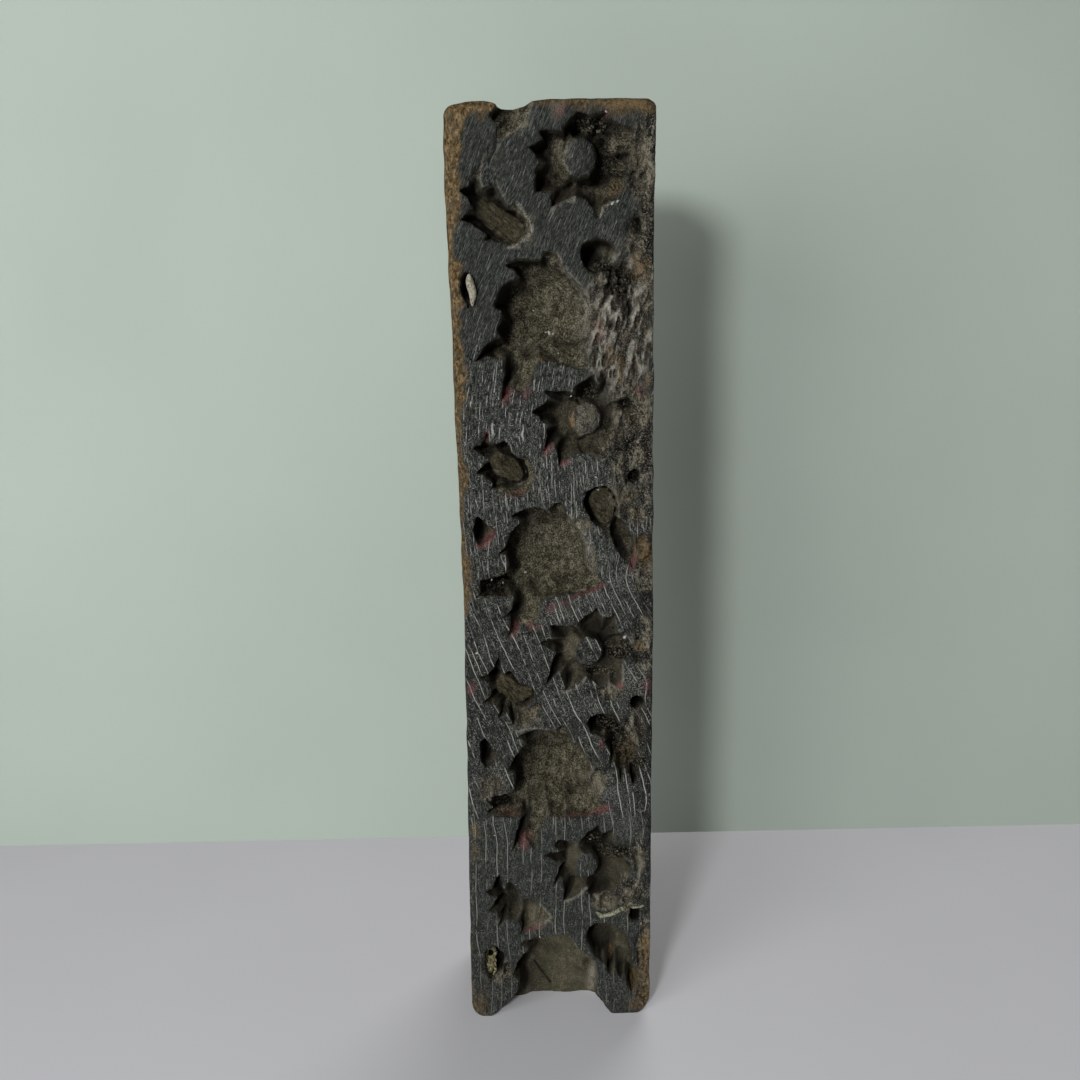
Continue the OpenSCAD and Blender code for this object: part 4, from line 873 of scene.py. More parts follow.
# Hollow floors darker beside their left and top walls: painted shade, as if the light came from the upper left
left_side = smoothstep(0.1, 0.8, -sample(np.gradient(nearest, VOXEL, axis=0), px, pz))
top_side = smoothstep(0.2, 0.9, sample(np.gradient(nearest, VOXEL, axis=1), px, pz))
left_painted_shade = left_side * smoothstep(-4.4, -1.0, outline_d)
top_painted_shade = 0.8 * top_side * smoothstep(-2.4, -0.4, outline_d)
soot = np.maximum(left_painted_shade, top_painted_shade) * sunk * smoothstep(1.5, 4.0, below)
# Dark rings round the crumbs: painted shade where they sit on the wood
gaps = np.clip(sample(crumb_shade_map, px, pz) - sample(lump_map, px, pz), 0, 1) * front * smoothstep(0.3, 1.5, below)
wide_black = [(x, z, BLACK_SPREAD * a, BLACK_SPREAD * b, lean, share) for x, z, a, b, lean, share in BLACK]
black = np.clip(1.15 * spots(wide_black, seen_x, seen_z, jitter), 0, 1)
# This mask gathers that painted shade, the painted shade round the crumbs, and the black patches, which are partly
# thick dye and partly painted shade
soot = np.maximum(np.maximum(soot, 0.7 * gaps), black * np.maximum(sunk, decay))
ridge_tone = sample(ridges, px, pz)

# Grain: lines of the face keep one value of g; t runs along them. Heights and the lines' lean
GRAIN_LEAN = (
    [0, 25, 45, 62, 75, 90, 118, 130, 142, 155, 165, 175, 185, 200, 242],
    [0, -0.03, 0.05, -0.1, -0.35, -0.42, -0.38, -0.12, -0.03, -0.08, 0.03, 0.12, 0.3, 0.42, 0.42],
)
LEAN_STEP = 0.5
lean_z = np.arange(-4, BLOCK_L + 4, LEAN_STEP)
lean = np.interp(lean_z, *GRAIN_LEAN)
drift = np.concatenate([[0], np.cumsum((lean[1:] + lean[:-1]) / 2 * LEAN_STEP)])
grain_g = px - np.interp(pz, lean_z, drift) + 0.25 * sample(flat_noise(9, 16), px, pz)
# The lines fan out to the right of the third flower
fan = 0.18 * np.maximum(px - 32, 0) / 12 * np.clip(pz - 112, -15, 15)
grain_g = grain_g + fan * smoothstep(90, 100, pz) * smoothstep(135, 125, pz)
# Kinds of worn lines: heights and how strongly each shows there
LINES = {
    "fine_lines": ([100, 125, 145, 158, 176, 188, 200], [0, 0.45, 0.8, 1, 1, 0.5, 0.15]),
    "long_lines": ([56, 64, 124, 136, 150, 160], [0, 1, 1, 0.6, 0.5, 0]),
    "low_lines": ([10, 26, 56, 64], [0.4, 1, 1, 0]),
    "scratches": ([150, 180, 200, 242], [0.2, 0.5, 1, 1]),
}
DIM = ([0, 60, 75, 118, 130, 180, 200, 242], [0.05, 0.05, 0.22, 0.22, 0.03, 0.03, 0.12, 0.12])
normals = np.empty(len(points) * 3, np.float32)
block.data.vertex_normals.foreach_get("vector", normals)
normals = normals.reshape(-1, 3)
# Walls that face left and up, towards the lamps, are painted paler: painted light, and dust where paste lies
lit_wall = smoothstep(0.35, 0.85, normals[:, 2] * 0.35 - normals[:, 0] * 0.95) * sunk
eye_2 = polygon(px, pz, EYES["flower_2"][0])
face_only = on_face * (1 - bare) * (1 - 0.8 * decay) * (1 - 0.7 * sample(shabby, px, pz))
face_only = face_only * smoothstep(-0.2, 0.4, eye_2)


def attribute(piece, name, values):
    layer = piece.data.attributes.new(name, "FLOAT", "POINT")
    layer.data.foreach_set("value", np.ascontiguousarray(values, np.float32))


def vector_attribute(piece, name, values):
    layer = piece.data.attributes.new(name, "FLOAT_VECTOR", "POINT")
    layer.data.foreach_set("vector", np.ascontiguousarray(values, np.float32).ravel())


for name, values in {
    "sunk": sunk,
    "paste": sample(paste_map, px, pz),
    "bare": bare,
    "dust": dust,
    "pale": pale,
    "soot": soot,
    "grains": spots(GRAINS, seen_x, seen_z, 0.7 * mottle) * front,
    "chalky": spots(CHALK, seen_x, seen_z, jitter) * on_face,
    "ridge": ridge_tone,
    "scab": sample(scab, px, pz),
    "plug": sample(plug_map, px, pz) * smoothstep(5.5, 4.2, pd),
    "calm": sample(calm_map, px, pz),
    "shabby": sample(shabby, px, pz) * (1 - sunk * smoothstep(1.5, 4.5, below)) * front,
    "dim": np.interp(pz, *DIM) + 0.45 * smoothstep(44.5, 49, px),
    "crumbs": crumbs,
    "lit_wall": lit_wall,
    "pink": pink,
    "ochre": ochre,
    "decay": decay,
    "fade": fade,
    "outer": outer,
    "rim_wear": rim_wear,
    "corner_dirt": corner_dirt,
}.items():
    attribute(block, name, values)
for name, heights in LINES.items():
    attribute(block, name, np.interp(pz, *heights) * face_only)
vector_attribute(block, "grain", np.stack([grain_g, pd, pz], axis=1))


# Shading: colours are linear, and each row of tones runs from dark to light along a noise
TONES = {
    "ground": ((0.36, (0.006, 0.007, 0.006)), (0.5, (0.030, 0.033, 0.030)), (0.64, (0.104, 0.111, 0.101))),
    "paste": ((0.40, (0.022, 0.019, 0.011)), (0.5, (0.078, 0.071, 0.046)), (0.60, (0.215, 0.195, 0.138))),
    "dyed": ((0.38, (0.010, 0.008, 0.005)), (0.5, (0.034, 0.030, 0.020)), (0.62, (0.080, 0.072, 0.051))),
    "crumbly": ((0.38, (0.016, 0.013, 0.009)), (0.5, (0.070, 0.061, 0.043)), (0.62, (0.27, 0.245, 0.185))),
    "plate": ((0.38, (0.012, 0.010, 0.005)), (0.5, (0.050, 0.043, 0.026)), (0.62, (0.125, 0.109, 0.072))),
    "wood": ((0.38, (0.034, 0.020, 0.008)), (0.5, (0.132, 0.089, 0.041)), (0.62, (0.29, 0.205, 0.104))),
    "aged": ((0.36, (0.050, 0.033, 0.017)), (0.5, (0.130, 0.086, 0.044)), (0.64, (0.225, 0.155, 0.084))),
    "rotten": ((0.34, (0.026, 0.023, 0.016)), (0.6, (0.162, 0.152, 0.12)), (0.95, (0.45, 0.435, 0.37))),
    "weathered": ((0.42, (0.005, 0.004, 0.003)), (0.5, (0.036, 0.032, 0.022)), (0.57, (0.25, 0.225, 0.165))),
    "heap": ((0.48, (0.003, 0.0028, 0.002)), (0.55, (0.03, 0.026, 0.016)), (0.62, (0.23, 0.21, 0.15))),
    "dust": ((0.42, (0.085, 0.074, 0.049)), (0.58, (0.225, 0.20, 0.14))),
    "pale": ((0.42, (0.15, 0.14, 0.11)), (0.58, (0.37, 0.35, 0.28))),
    "grip": ((0.36, (0.055, 0.031, 0.015)), (0.5, (0.165, 0.100, 0.050)), (0.66, (0.280, 0.180, 0.095))),
    "iron": ((0.35, (0.018, 0.013, 0.010)), (0.5, (0.060, 0.036, 0.024)), (0.66, (0.15, 0.075, 0.038))),
}


class Shade:
    """Builds one node material."""

    def __init__(self, name, specular):
        self.material = bpy.data.materials.new(name)
        self.material.use_nodes = True
        self.tree = self.material.node_tree
        self.surface = self.tree.nodes["Principled BSDF"]
        self.surface.inputs["Specular IOR Level"].default_value = specular

    def node(self, kind, **settings):
        made = self.tree.nodes.new(kind)
        for key, value in settings.items():
            setattr(made, key, value)
        return made

    def feed(self, socket, value):
        if isinstance(value, bpy.types.NodeSocket):
            self.tree.links.new(value, socket)
        else:
            socket.default_value = value

    def value(self, name):
        return self.node("ShaderNodeAttribute", attribute_name=name).outputs["Fac"]

    def vector(self, name):
        return self.node("ShaderNodeAttribute", attribute_name=name).outputs["Vector"]

    def math(self, operation, a, b=0.0, clamp=False):
        made = self.node("ShaderNodeMath", operation=operation, use_clamp=clamp)
        self.feed(made.inputs[0], a)
        self.feed(made.inputs[1], b)
        return made.outputs[0]

    def times(self, a, b):
        return self.math("MULTIPLY", a, b)

    def plus(self, a, b):
        return self.math("ADD", a, b)

    def minus(self, a, b):
        return self.math("SUBTRACT", a, b)

    def most(self, a, b):
        return self.math("MAXIMUM", a, b)

    def calmed(self, noise, keep):
        """A noise drawn in towards its middle; 1 keeps all of it."""
        return self.plus(self.times(self.minus(noise, 0.5), keep), 0.5)

    def stretch(self, vector, scale):
        made = self.node("ShaderNodeVectorMath", operation="MULTIPLY")
        self.feed(made.inputs[0], vector)
        self.feed(made.inputs[1], scale)
        return made.outputs[0]

    def noise(self, vector, scale=None, detail=3.0, roughness=0.55, distortion=0.0):
        made = self.node("ShaderNodeTexNoise")
        self.feed(made.inputs["Vector"], self.stretch(vector, scale) if scale else vector)
        made.inputs["Scale"].default_value = 1.0
        made.inputs["Detail"].default_value = detail
        made.inputs["Roughness"].default_value = roughness
        made.inputs["Distortion"].default_value = distortion
        return made.outputs["Fac"]

    def ramp(self, value, low, high, to_low=0.0, to_high=1.0):
        made = self.node("ShaderNodeMapRange", interpolation_type="SMOOTHSTEP")
        self.feed(made.inputs["Value"], value)
        made.inputs["From Min"].default_value = low
        made.inputs["From Max"].default_value = high
        made.inputs["To Min"].default_value = to_low
        made.inputs["To Max"].default_value = to_high
        return made.outputs["Result"]

    def tones(self, value, *stops):
        """Colours along a value: (position, colour) pairs."""
        made = self.node("ShaderNodeValToRGB")
        elements = made.color_ramp.elements
        while len(elements) < len(stops):
            elements.new(0.5)
        for element, (at, colour) in zip(elements, stops):
            element.position = at
            element.color = (*colour, 1)
        self.feed(made.inputs["Fac"], value)
        return made.outputs["Color"]

    def mix(self, amount, a, b, blend="MIX"):
        made = self.node("ShaderNodeMix", data_type="RGBA", blend_type=blend)
        self.feed(made.inputs["Factor"], amount)
        self.feed(made.inputs[6], a if isinstance(a, bpy.types.NodeSocket) else (*a, 1))
        self.feed(made.inputs[7], b if isinstance(b, bpy.types.NodeSocket) else (*b, 1))
        return made.outputs[2]

    def strands(self, g, t, spacing, width, length, share, seed, wavy):
        """Thin broken lines that wander along the grain: 1 on a line, 0 off it."""
        def drift(across, along, size):
            place = self.node("ShaderNodeCombineXYZ")
            self.feed(place.inputs[0], self.times(g, across))
            self.feed(place.inputs[1], self.times(t, along))
            place.inputs[2].default_value = seed
            return self.times(self.minus(self.noise(place.outputs[0], detail=1.0), 0.5), size)

        wander = self.plus(drift(0.25 / spacing, 0.06, 3.2 * spacing * wavy), drift(0.6, 0.45, 0.5 * wavy))
        u = self.math("DIVIDE", self.plus(g, wander), spacing)
        cell = self.math("FLOOR", u)
        chance = self.node("ShaderNodeTexWhiteNoise", noise_dimensions="1D")
        self.feed(chance.inputs["W"], self.plus(cell, seed))
        middle = self.plus(self.times(chance.outputs["Value"], 0.6), 0.2)
        off = self.math("ABSOLUTE", self.minus(self.minus(u, cell), middle))
        line = self.ramp(off, width / spacing, width / spacing * 0.4)
        place = self.node("ShaderNodeCombineXYZ")
        self.feed(place.inputs[0], self.times(cell, 7.31))
        self.feed(place.inputs[1], self.math("DIVIDE", t, length))
        place.inputs[2].default_value = seed
        gaps = self.noise(place.outputs[0], detail=3.0, roughness=0.7)
        return self.times(line, self.ramp(gaps, 0.62 - 0.24 * share, 0.74 - 0.24 * share))

    def finish(self, colour, roughness, bump, strength, distance):
        self.feed(self.surface.inputs["Base Color"], colour)
        self.feed(self.surface.inputs["Roughness"], roughness)
        made = self.node("ShaderNodeBump")
        made.inputs["Strength"].default_value = strength
        made.inputs["Distance"].default_value = distance
        self.feed(made.inputs["Height"], bump)
        self.feed(self.surface.inputs["Normal"], made.outputs["Normal"])
        return self.material


def millimetres(shade):
    """Places on a piece in millimetres."""
    where = shade.node("ShaderNodeTexCoord").outputs["Object"]
    return shade.stretch(where, (1000.0, 1000.0, 1000.0))


# Lines along the grain: mask, then spacing, width, length, share, seed and waviness, then strength and colour
STRANDS = [
    ("scratches", 0.8, 0.12, 3.2, 0.45, 3.1, 1.0, 0.7, (0.21, 0.215, 0.195)),
    ("fine_lines", 0.95, 0.15, 4.5, 0.5, 11.7, 1.0, 0.9, (0.43, 0.435, 0.40)),
    ("long_lines", 2.3, 0.17, 9.0, 0.72, 29.3, 0.6, 0.95, (0.47, 0.465, 0.42)),
    ("low_lines", 3.2, 0.15, 14.0, 0.9, 53.9, 0.25, 0.85, (0.34, 0.335, 0.295)),
]
# The first of these is a near-black for painted shade and thick dye alike; the other two are stain colours
SHADE_AND_DYE_BLACK, OCHRE_TONE, PINK_TONE = (0.004, 0.0035, 0.003), (0.23, 0.15, 0.066), (0.24, 0.085, 0.085)


def dyed_wood():
    s = Shade("dyed_wood", 0.1)
    mm = millimetres(s)
    grain = s.vector("grain")
    apart = s.node("ShaderNodeSeparateXYZ")
    s.feed(apart.inputs[0], grain)
    g, t = apart.outputs[0], apart.outputs[2]
    along = s.noise(grain, (1.3, 1.0, 0.22), detail=3)
    fine = s.noise(grain, (3.0, 2.0, 0.8), detail=2, roughness=0.6)
    grit = s.noise(mm, (2.5, 2.5, 2.5), detail=2, roughness=0.6)
    coarse = s.noise(mm, (0.6, 0.6, 0.45), detail=3, roughness=0.6)
    cloud = s.noise(mm, (0.16, 0.16, 0.1), detail=3)
    specks = s.noise(mm, (3.0, 3.0, 3.0), detail=1)

    keep = s.ramp(s.value("calm"), 0.0, 1.0, 1.0, 0.35)
    fine = s.calmed(fine, keep)
    ground = s.tones(fine, *TONES["ground"])
    ground = s.mix(s.ramp(cloud, 0.38, 0.62, 0, 0.4), ground, (0.022, 0.024, 0.020))
    ground = s.mix(s.ramp(coarse, 0.52, 0.66, 0, 0.25), ground, (0.080, 0.080, 0.066))
    ground = s.mix(s.value("dim"), ground, (0.006, 0.006, 0.005))
    marks = 0.0
    for mask, *strand, strength, tone in STRANDS:
        line = s.times(s.strands(g, t, *strand), s.value(mask))
        ground = s.mix(s.times(line, strength), ground, tone)
        marks = s.most(marks, line)
    chalk = s.times(s.ramp(specks, 0.57, 0.65), s.ramp(coarse, 0.42, 0.57, 0.12, 0.9))
    chalk = s.most(s.times(chalk, keep), s.times(s.ramp(specks, 0.49, 0.6), s.value("chalky")))
    ground = s.mix(s.times(chalk, s.ramp(t, 190.0, 165.0, 0.2, 1.0)), ground, (0.27, 0.27, 0.243))

    soil = s.plus(s.times(grit, 0.62), s.times(coarse, 0.38))
    soil = s.calmed(soil, keep)
    paste = s.tones(soil, *TONES["paste"])
    paste = s.mix(s.ramp(specks, 0.68, 0.75, 0, 0.5), paste, (0.26, 0.24, 0.19))
    dyed = s.tones(soil, *TONES["dyed"])
    hollow = s.mix(s.value("paste"), dyed, paste)
    # Hollows darker in their concave corners: painted shade, and dirt
    hollow = s.mix(s.times(s.value("corner_dirt"), 0.6), hollow, (0.010, 0.009, 0.006))
    crumbly = s.tones(soil, *TONES["crumbly"])
    hollow = s.mix(s.value("crumbs"), hollow, crumbly)
    # Paler walls facing the lamps where paste lies: painted light, and dust
    wall_dust_and_light = s.times(s.value("lit_wall"), s.value("paste"))
    wall_dust_and_light = s.times(wall_dust_and_light, s.ramp(soil, 0.40, 0.58, 0.5, 1.0))
    hollow = s.mix(wall_dust_and_light, hollow, (0.215, 0.20, 0.155))
    leafwise = s.node("ShaderNodeMapping", vector_type="TEXTURE")
    s.feed(leafwise.inputs["Vector"], mm)
    leafwise.inputs["Rotation"].default_value = (0.0, math.radians(42), 0.0)
    leafwise.inputs["Scale"].default_value = (2.2, 0.6, 0.55)
    layered = s.noise(leafwise.outputs[0], detail=3, roughness=0.6)
    layered = s.plus(s.times(layered, 0.45), s.times(soil, 0.55))
    plate = s.tones(layered, *TONES["plate"])
    hollow = s.mix(s.value("plug"), hollow, plate)

    fibres = s.noise(mm, (2.4, 2.4, 0.35), detail=4, roughness=0.6)
    crumble = s.noise(mm, (1.5, 1.5, 0.9), detail=5, roughness=0.7)
    wood = s.tones(crumble, *TONES["wood"])
    wood = s.mix(s.ramp(fibres, 0.45, 0.36, 0, 0.6), wood, (0.050, 0.030, 0.014))
    wood = s.mix(s.ramp(coarse, 0.46, 0.6, 0, 0.6), wood, (0.088, 0.074, 0.048))

    aged = s.tones(fibres, *TONES["aged"])
    aged = s.mix(s.ramp(cloud, 0.42, 0.6, 0, 0.55), aged, (0.080, 0.060, 0.039))
    side = s.mix(s.value("fade"), (0.050, 0.050, 0.046), aged)
    height = s.plus(s.times(s.value("ridge"), 0.7), s.times(grit, 0.6))
    height = s.plus(height, s.times(s.minus(fibres, 0.5), 0.6))
    rotten = s.tones(height, *TONES["rotten"])
    rotten = s.mix(s.ramp(coarse, 0.52, 0.62, 0, 0.5), rotten, (0.20, 0.15, 0.10))
    scabby = s.minus(s.plus(s.times(crumble, 0.75), 0.125), s.times(s.value("scab"), 0.11))
    weathered = s.tones(scabby, *TONES["weathered"])
    weathered = s.mix(s.ramp(cloud, 0.46, 0.56, 0, 0.3), weathered, (0.12, 0.088, 0.05))
    crack = s.math("ABSOLUTE", s.minus(s.noise(mm, (0.7, 0.7, 0.3), detail=4, roughness=0.65), 0.5))
    crack = s.ramp(crack, 0.026, 0.008)
    flakes = s.ramp(specks, 0.58, 0.65, 0, 0.6)
    weathered = s.mix(s.times(crack, 0.85), s.mix(flakes, weathered, (0.38, 0.36, 0.30)), (0.006, 0.005, 0.004))
    rotten = s.mix(s.times(crack, 0.7), s.mix(flakes, rotten, (0.32, 0.305, 0.26)), (0.010, 0.009, 0.007))

    colour = s.mix(s.value("sunk"), ground, hollow)
    colour = s.mix(s.value("outer"), colour, side)
    colour = s.mix(s.times(s.value("decay"), 0.85), colour, rotten)
    colour = s.mix(s.times(s.value("shabby"), s.ramp(coarse, 0.4, 0.55, 0.55, 0.95)), colour, weathered)
    worn_rim = s.times(s.value("rim_wear"), s.ramp(soil, 0.45, 0.58, 0.05, 0.5))
    colour = s.mix(worn_rim, colour, (0.20, 0.185, 0.15))
    colour = s.mix(s.value("bare"), colour, wood)
    # Near-black over the painted shade and dye mask: painted shade in the hollows, and thick dye in places
    colour = s.mix(s.times(s.value("soot"), 0.92), colour, SHADE_AND_DYE_BLACK)
    granular = s.noise(mm, (1.9, 1.9, 1.9), detail=2, roughness=0.7, distortion=0.6)
    heap = s.tones(granular, *TONES["heap"])
    colour = s.mix(s.times(s.value("grains"), 0.9), colour, heap)
    # Paler where dust lies, and painted light on lit slopes
    dust_and_light_share = s.times(s.value("dust"), s.ramp(soil, 0.42, 0.56, 0.3, 0.9))
    colour = s.mix(dust_and_light_share, colour, s.tones(soil, *TONES["dust"]))
    # Paler along the trails: wear, and painted light
    bright = s.times(s.value("pale"), s.ramp(soil, 0.42, 0.54, 0.3, 0.9))
    colour = s.mix(bright, colour, s.tones(soil, *TONES["pale"]))
    colour = s.mix(s.times(s.value("ochre"), s.ramp(soil, 0.45, 0.54, 0.05, 0.85)), colour, OCHRE_TONE)
    colour = s.mix(s.times(s.value("pink"), s.ramp(soil, 0.42, 0.56, 0.2, 0.75)), colour, PINK_TONE)

    rough = s.math("ADD", s.ramp(grit, 0.3, 0.7, 0.58, 0.8), s.times(s.value("sunk"), 0.14), clamp=True)
    bump = s.plus(s.times(grit, 1.0), s.times(along, 0.5))
    bump = s.plus(bump, s.times(fibres, 0.5))
    bump = s.times(bump, keep)
    bump = s.plus(bump, s.times(granular, s.times(s.value("grains"), 2.2)))
    bump = s.minus(bump, s.times(marks, 0.25))
    return s.finish(colour, rough, bump, 0.9, 0.0008)


block.data.materials.append(dyed_wood())

# Dry litter caught in the carving, each bit lying on the wood under it


def lying(x, z, lift):
    """Where something seen at x, z in the photograph lies, a little above the carving, in metres."""
    true_x, true_z, d = resting(x, z, lift, 6)
    return Vector((LEFT_X + true_x * MM, FACE_Y + d * MM, true_z * MM))


def litter(shade_name, dark, middle, light):
    s = Shade(shade_name, 0.15)
    mm = millimetres(s)
    grit = s.noise(mm, (2.2, 2.2, 1.4), detail=3, roughness=0.65)
    colour = s.tones(grit, (0.36, dark), (0.5, middle), (0.64, light))
    return s.finish(colour, s.ramp(grit, 0.3, 0.7, 0.65, 0.85), grit, 0.7, 0.0005)


def tube_mesh(path, radii, sides, lumpy):
    """Points and faces of a closed lumpy tube along a path in metres, with radii in mm."""
    made, made_faces = [path[0]], []
    for k, (at, radius) in enumerate(zip(path, radii)):
        ahead = (path[min(k + 1, len(path) - 1)] - path[max(k - 1, 0)]).normalized()
        side = ahead.cross(Vector((0, 1, 0))).normalized()
        up = side.cross(ahead)
        for turn in range(sides):
            a = 2 * math.pi * turn / sides
            r = radius * MM * (1 + lumpy * rng.uniform(-1, 1))
            made.append(at + r * (math.cos(a) * side + math.sin(a) * up))
    made.append(path[-1])
    for turn in range(sides):
        after = (turn + 1) % sides
        made_faces.append((0, 1 + after, 1 + turn))
        for k in range(len(path) - 1):
            a = 1 + k * sides
            made_faces.append((a + turn, a + after, a + sides + after, a + sides + turn))
        a = 1 + (len(path) - 1) * sides
        made_faces.append((a + turn, a + after, len(made) - 1))
    return [tuple(p) for p in made], made_faces


def litter_piece(name, tubes, material):
    all_points, all_faces = [], []
    for tube_points, tube_faces in tubes:
        base = len(all_points)
        all_points += tube_points
        all_faces += [tuple(base + k for k in f) for f in tube_faces]
    piece = new_piece(name, all_points, all_faces)
    piece.data.materials.append(material)
    smooth = piece.modifiers.new("smooth", "SUBSURF")
    smooth.levels = smooth.render_levels = 1


def along_path(spots_seen, count, lift):
    """Evenly placed lying points along a path seen in the photograph."""
    at = np.linspace(0, len(spots_seen) - 1, count)
    xs, zs = [np.interp(at, np.arange(len(spots_seen)), places) for places in zip(*spots_seen)]
    return [lying(x, z, lift) for x, z in zip(xs, zs)]


def settled(path):
    """A stiff bit's line: straight between its ends, as far out as the highest thing under it asks."""
    first, last = path[0], path[-1]
    straight = [first.lerp(last, k / (len(path) - 1)) for k in range(len(path))]
    out = max(b.y - a.y for a, b in zip(path, straight))
    return [Vector((p.x, q.y - max(out, 0), p.z)) for p, q in zip(path, straight)]


husk = settled(along_path([(5.2, 202.7), (5.4, 200.4), (6.1, 198), (5.6, 195)], 11, 0.7))
husk_radii = [0.3, 0.65, 0.9, 1.05, 1.1, 1.15, 1.1, 1.0, 0.8, 0.5, 0.2]
dry_husk = litter("dry_husk", (0.16, 0.14, 0.10), (0.34, 0.32, 0.25), (0.46, 0.44, 0.36))
litter_piece("dirt_husk", [tube_mesh(husk, husk_radii, 10, 0.07)], dry_husk)

nest_body = settled(along_path([(5.9, 19.2), (5.8, 17.2), (5.7, 15.2)], 12, 1.2))
nest_strands = []
# The strands of the nest: where each starts and ends across it, and its radius
NEST = [(4.3, 4.5, 0.5), (5.2, 5.1, 0.55), (6.1, 5.8, 0.55), (7.0, 6.6, 0.5), (4.8, 5.6, 0.4), (6.6, 5.6, 0.45)]
for start_x, end_x, radius in NEST:
    strand = along_path([(start_x, 19.4), ((start_x + end_x) / 2 + 0.2, 17.2), (end_x, 15)], 12, 0.9)
    strand = [
        Vector((p.x + 0.3 * MM * rng.uniform(-1, 1), q.y - 0.7 * MM * rng.uniform(0.2, 1), p.z))
        for p, q in zip(strand, nest_body)
    ]
    strand_radii = [0.3] + [radius * rng.uniform(0.7, 1.3) for _ in range(10)] + [0.3]
    nest_strands.append(tube_mesh(strand, strand_radii, 7, 0.25))
ring_at = lying(5.7, 20.2, 1.3)
RING_R, RING_POINTS = 1.25, 22
ring = [
    ring_at + RING_R * MM * Vector((math.cos(a), 0.25 * math.sin(a), math.sin(a)))
    for a in np.linspace(0.3, 2 * math.pi + 0.2, RING_POINTS)
]
nest_strands.append(tube_mesh(ring, [0.55 * rng.uniform(0.8, 1.2) for _ in range(RING_POINTS)], 8, 0.15))
dry_nest = litter("dry_nest", (0.05, 0.042, 0.022), (0.20, 0.175, 0.095), (0.42, 0.39, 0.24))
litter_piece("dirt_nest", nest_strands, dry_nest)

# Two twigs: the path that each follows and its radius
TWIGS = [
    ([(35, 31.8), (36.4, 30.6), (38.5, 30.9), (40.4, 31.6), (41.6, 32.6), (43, 33.4)], 0.66),
    ([(44.6, 32.9), (46.4, 33), (48.2, 33.5)], 0.4),
]
twig_tubes = []
for twig_path, twig_r in TWIGS:
    count = 5 * (len(twig_path) - 1) + 1
    twig_radii = [0.15] + [twig_r * rng.uniform(0.6, 1.4) for _ in range(count - 2)] + [0.15]
    twig_tubes.append(tube_mesh(along_path(twig_path, count, 0.3), twig_radii, 8, 0.12))
dry_twig = litter("dry_twig", (0.10, 0.10, 0.065), (0.26, 0.265, 0.18), (0.40, 0.41, 0.30))
litter_piece("dirt_twig", twig_tubes, dry_twig)

# White flecks: where the photograph shows each, and its size
FLECKS = [
    (24.2, 188.4, 0.55), (25.2, 188.2, 0.35), (23.4, 188.5, 0.3), (30.0, 171.6, 0.45), (33.5, 171.8, 0.45),
    (29.4, 172.9, 0.3), (42.8, 110.4, 0.55), (36.5, 88, 0.45), (17.3, 128.3, 0.4), (4.2, 106.8, 0.45),
    (47.3, 28, 0.35), (6.3, 124, 0.35), (9.5, 124.3, 0.6), (11.5, 125.5, 0.35), (8.6, 126.4, 0.3),
    (36, 149.3, 0.35), (20.4, 193.8, 0.25), (7.6, 55.2, 0.35), (19.4, 24.6, 0.35), (26.5, 183.4, 0.3),
    (38.3, 239.3, 0.35), (34.6, 54, 0.4), (33.4, 53.6, 0.3), (39.8, 218.6, 0.5), (41, 219, 0.4),
    (35.5, 152.5, 0.35), (28, 158, 0.3),
]
fleck_tubes = []
for x, z, size in FLECKS:
    at = lying(x, z, 0.4 * size)
    reach = Vector((rng.uniform(-1, 1), 0.2 * rng.uniform(-1, 1), rng.uniform(-1, 1)))
    reach = reach.normalized() * size * MM
    path = [at - reach, at - 0.4 * reach, at + 0.4 * reach, at + reach]
    fleck_tubes.append(tube_mesh(path, [0.35 * size, 0.75 * size, 0.7 * size, 0.3 * size], 7, 0.25))
white_flecks = litter("white_flecks", (0.22, 0.21, 0.18), (0.42, 0.41, 0.37), (0.58, 0.57, 0.53))
litter_piece("dirt_flecks", fleck_tubes, white_flecks)

# The handle on the back: two nailed feet and a fluted grip between them, carved from one piece

FOOT_L, FOOT_H, FOOT_R = 24.0, 10.0, 4.0
GRIP_W, GRIP_END_R = 26.0, 9.0
CROWN_R, FLUTE_R, FLUTE_IN, FLUTE_H = 20.0, 8.0, 3.0, 17.5
HANDLE_VOXEL = 0.55
handle_l = (handle_high.z - handle_low.z) / MM
handle_w = (handle_high.x - handle_low.x) / MM
handle_h = (handle_high.y - handle_low.y) / MM
ax = np.arange(-handle_w / 2 - 2, handle_w / 2 + 2, HANDLE_VOXEL, dtype=np.float32)[:, None, None]
ah = np.arange(-2, handle_h + 2, HANDLE_VOXEL, dtype=np.float32)[None, :, None]
az = np.arange(-handle_l / 2 - 2, handle_l / 2 + 2, HANDLE_VOXEL, dtype=np.float32)[None, None, :]
HANDLE_GRID = (ax.size, ah.size, az.size)


def handle_noise(cell_x, cell_h, cell_z):
    return lattice(HANDLE_GRID, [cell / HANDLE_VOXEL for cell in (cell_x, cell_h, cell_z)], rng)


